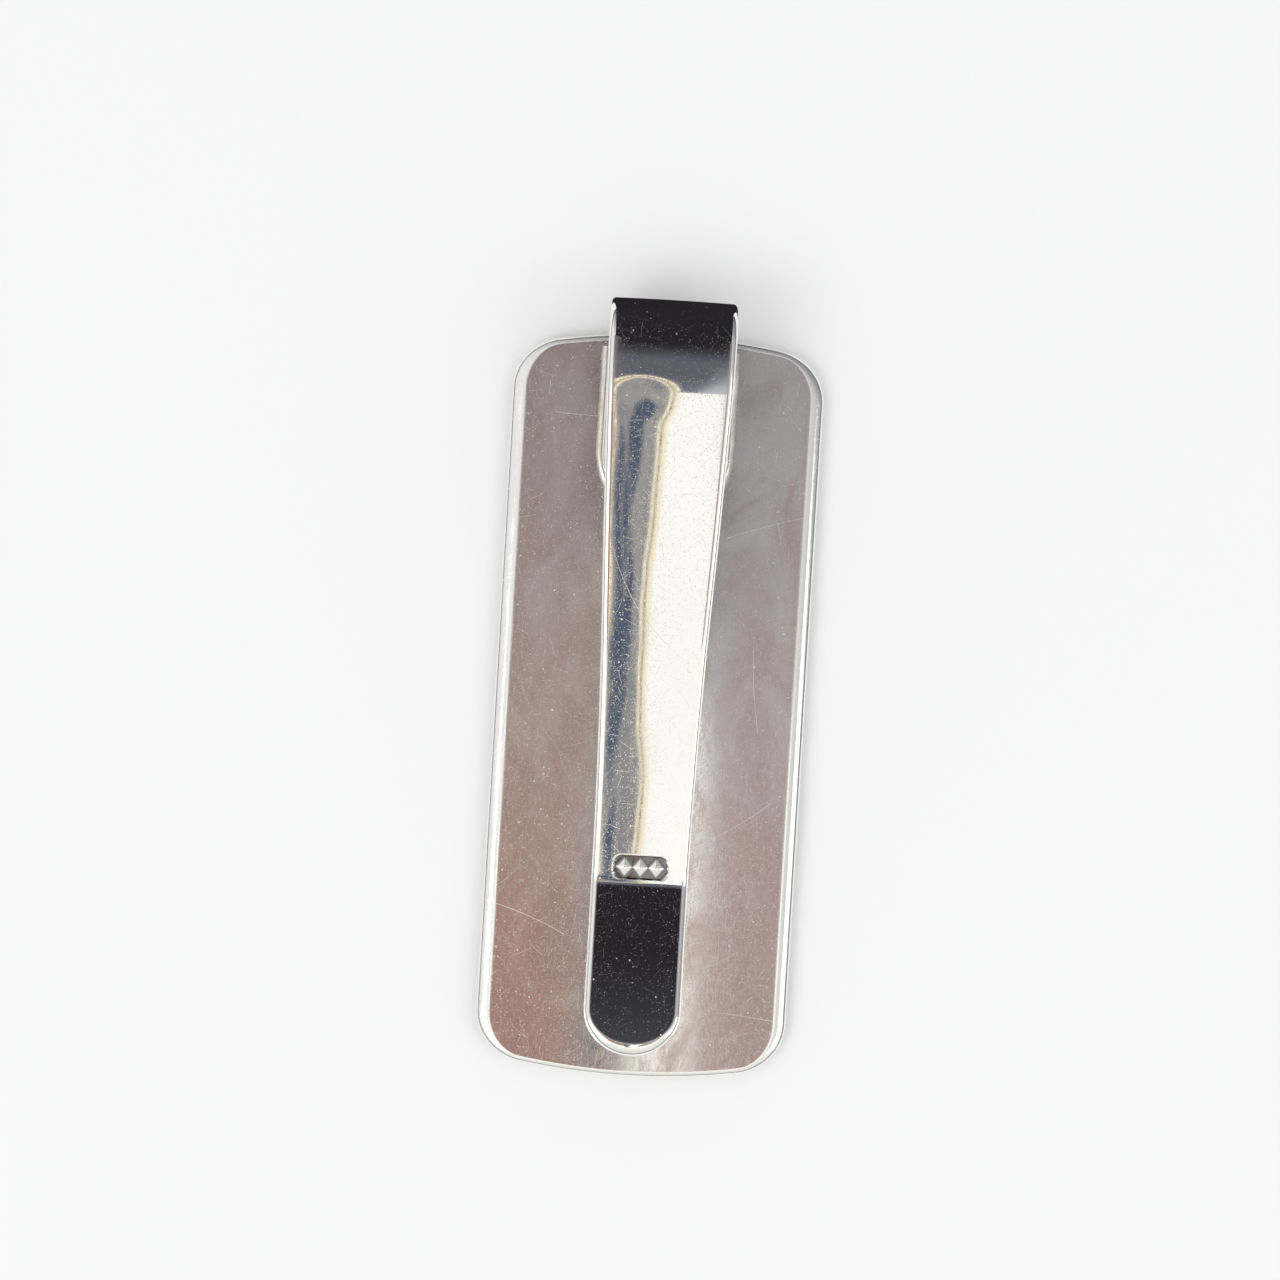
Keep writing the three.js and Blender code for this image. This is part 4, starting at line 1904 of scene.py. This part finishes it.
@dataclass
class Studio:
    """The pale ground, the soft lights and what the silver mirrors.

    Diffuse light comes from the sky colour. Behind the clip the backdrop colour shows. The silver
    mirrors the bright, dim and low colours, and the flag on the floor, which lies from near to far
    beyond the closed end.
    """

    ground_size: float = 8.0
    ground_rough: float = 0.7
    ground_gloss: float = 0.2
    ground_colour: Colour = (0.92, 0.92, 0.915)
    sky: Colour = (0.84, 0.845, 0.85)
    backdrop: Colour = (0.775, 0.78, 0.78)
    dim: Colour = (0.26, 0.265, 0.28)
    low: Colour = (0.10, 0.10, 0.11)
    bright: Colour = (0.82, 0.815, 0.80)
    dim_towards: tuple[float, float] = (0.55, 0.8)
    dimmed: tuple[float, float] = (-0.2, 0.9)
    lowered: tuple[float, float] = (0.02, 0.42)
    flag_near: float = 22 * MM
    flag_far: float = 420 * MM
    flag_lift: float = 0.2 * MM
    flag_near_sides: tuple[float, float] = (-6 * MM, 8 * MM)
    flag_far_sides: tuple[float, float] = (-32 * MM, 40 * MM)
    cards: tuple[ReflectedCard, ...] = CARDS
    softboxes: tuple[Softbox, ...] = SOFTBOXES

    def _ground(self) -> None:
        """A pale matt floor."""
        half = self.ground_size / 2
        mesh = bpy.data.meshes.new("ground")
        corners = [(-half, -half, 0), (half, -half, 0), (half, half, 0), (-half, half, 0)]
        mesh.from_pydata(corners, [], [(0, 1, 2, 3)])
        material = bpy.data.materials.new("ground")
        material.use_nodes = True
        shader = material.node_tree.nodes["Principled BSDF"]
        shader.inputs["Base Color"].default_value = opaque(self.ground_colour)
        shader.inputs["Roughness"].default_value = self.ground_rough
        shader.inputs["Specular IOR Level"].default_value = self.ground_gloss
        mesh.materials.append(material)
        new_object("ground", mesh)

    def _floor_flag(self) -> None:
        """A narrow black flag on the floor beyond the closed end, which only the crown mirrors."""
        mesh = bpy.data.meshes.new("floor_flag")
        near = [(x, self.flag_near, self.flag_lift) for x in self.flag_near_sides]
        far = [(x, self.flag_far, self.flag_lift) for x in reversed(self.flag_far_sides)]
        mesh.from_pydata(near + far, [], [(0, 1, 2, 3)])
        material = bpy.data.materials.new("floor_flag")
        tree = emptied_tree(material)
        shader = tree.add("ShaderNodeEmission", {"Color": opaque(SOOT)})
        tree.add("ShaderNodeOutputMaterial", {"Surface": shader.outputs[0]})
        mesh.materials.append(material)
        stage_for_reflections(new_object("floor_flag", mesh))

    def _world(self) -> None:
        """A soft pale sky, dimmer to the right and beyond the closed end in reflections."""
        world = bpy.data.worlds.new("studio")
        tree = emptied_tree(world)
        place = tree.add("ShaderNodeTexCoord").outputs["Generated"]
        x, y, up = tree.add("ShaderNodeSeparateXYZ", {0: place}).outputs
        weight_x, weight_y = self.dim_towards
        towards = tree.math("ADD", tree.math("MULTIPLY", x, weight_x), tree.math("MULTIPLY", y, weight_y))
        sides = tree.mix(tree.ramp(towards, *self.dimmed), opaque(self.bright), opaque(self.dim))
        mirrored = tree.mix(tree.ramp(up, *self.lowered, 1.0, 0.0), sides, opaque(self.low))
        rays = tree.add("ShaderNodeLightPath").outputs
        behind = tree.mix(rays["Is Camera Ray"], opaque(self.sky), opaque(self.backdrop))
        seen = tree.mix(rays["Is Glossy Ray"], behind, mirrored)
        back = tree.add("ShaderNodeBackground", {"Color": seen, "Strength": 1.0})
        tree.add("ShaderNodeOutputWorld", {"Surface": back.outputs[0]})
        bpy.context.scene.world = world

    def build(self) -> None:
        """Sets up everything round the clip."""
        bpy.context.scene.view_settings.view_transform = "Standard"
        self._ground()
        self._floor_flag()
        self._world()
        for part in (*self.softboxes, *self.cards):
            part.build()


def main() -> None:
    """Builds the camera, the clip piece by piece, and the studio, and logs each piece's face count."""
    logging.basicConfig(level=logging.INFO, format="%(name)s: %(message)s")
    Viewpoint().place()
    effects = {"hairlines": hairlines_effect(), "specks": specks_effect(), "handling": handling_effect()}
    polished, handled, solder = (finish.material(effects) for finish in (POLISHED, HANDLED, SOLDER))
    strip = SpringStrip(StripSizes.from_frame(), polished, bent_strip_tree())
    pieces = (
        FrontPlate(PlateSizes.from_frame(), handled, flat_sheet_tree()).build(),
        strip.build_foot(),
        strip.build_tongue(),
        SolderBead(strip, solder).build(),
    )
    for piece in pieces:
        log.info("%s: %d faces", piece.name, len(piece.data.polygons))
    Studio().build()


if __name__ == "__main__":
    main()
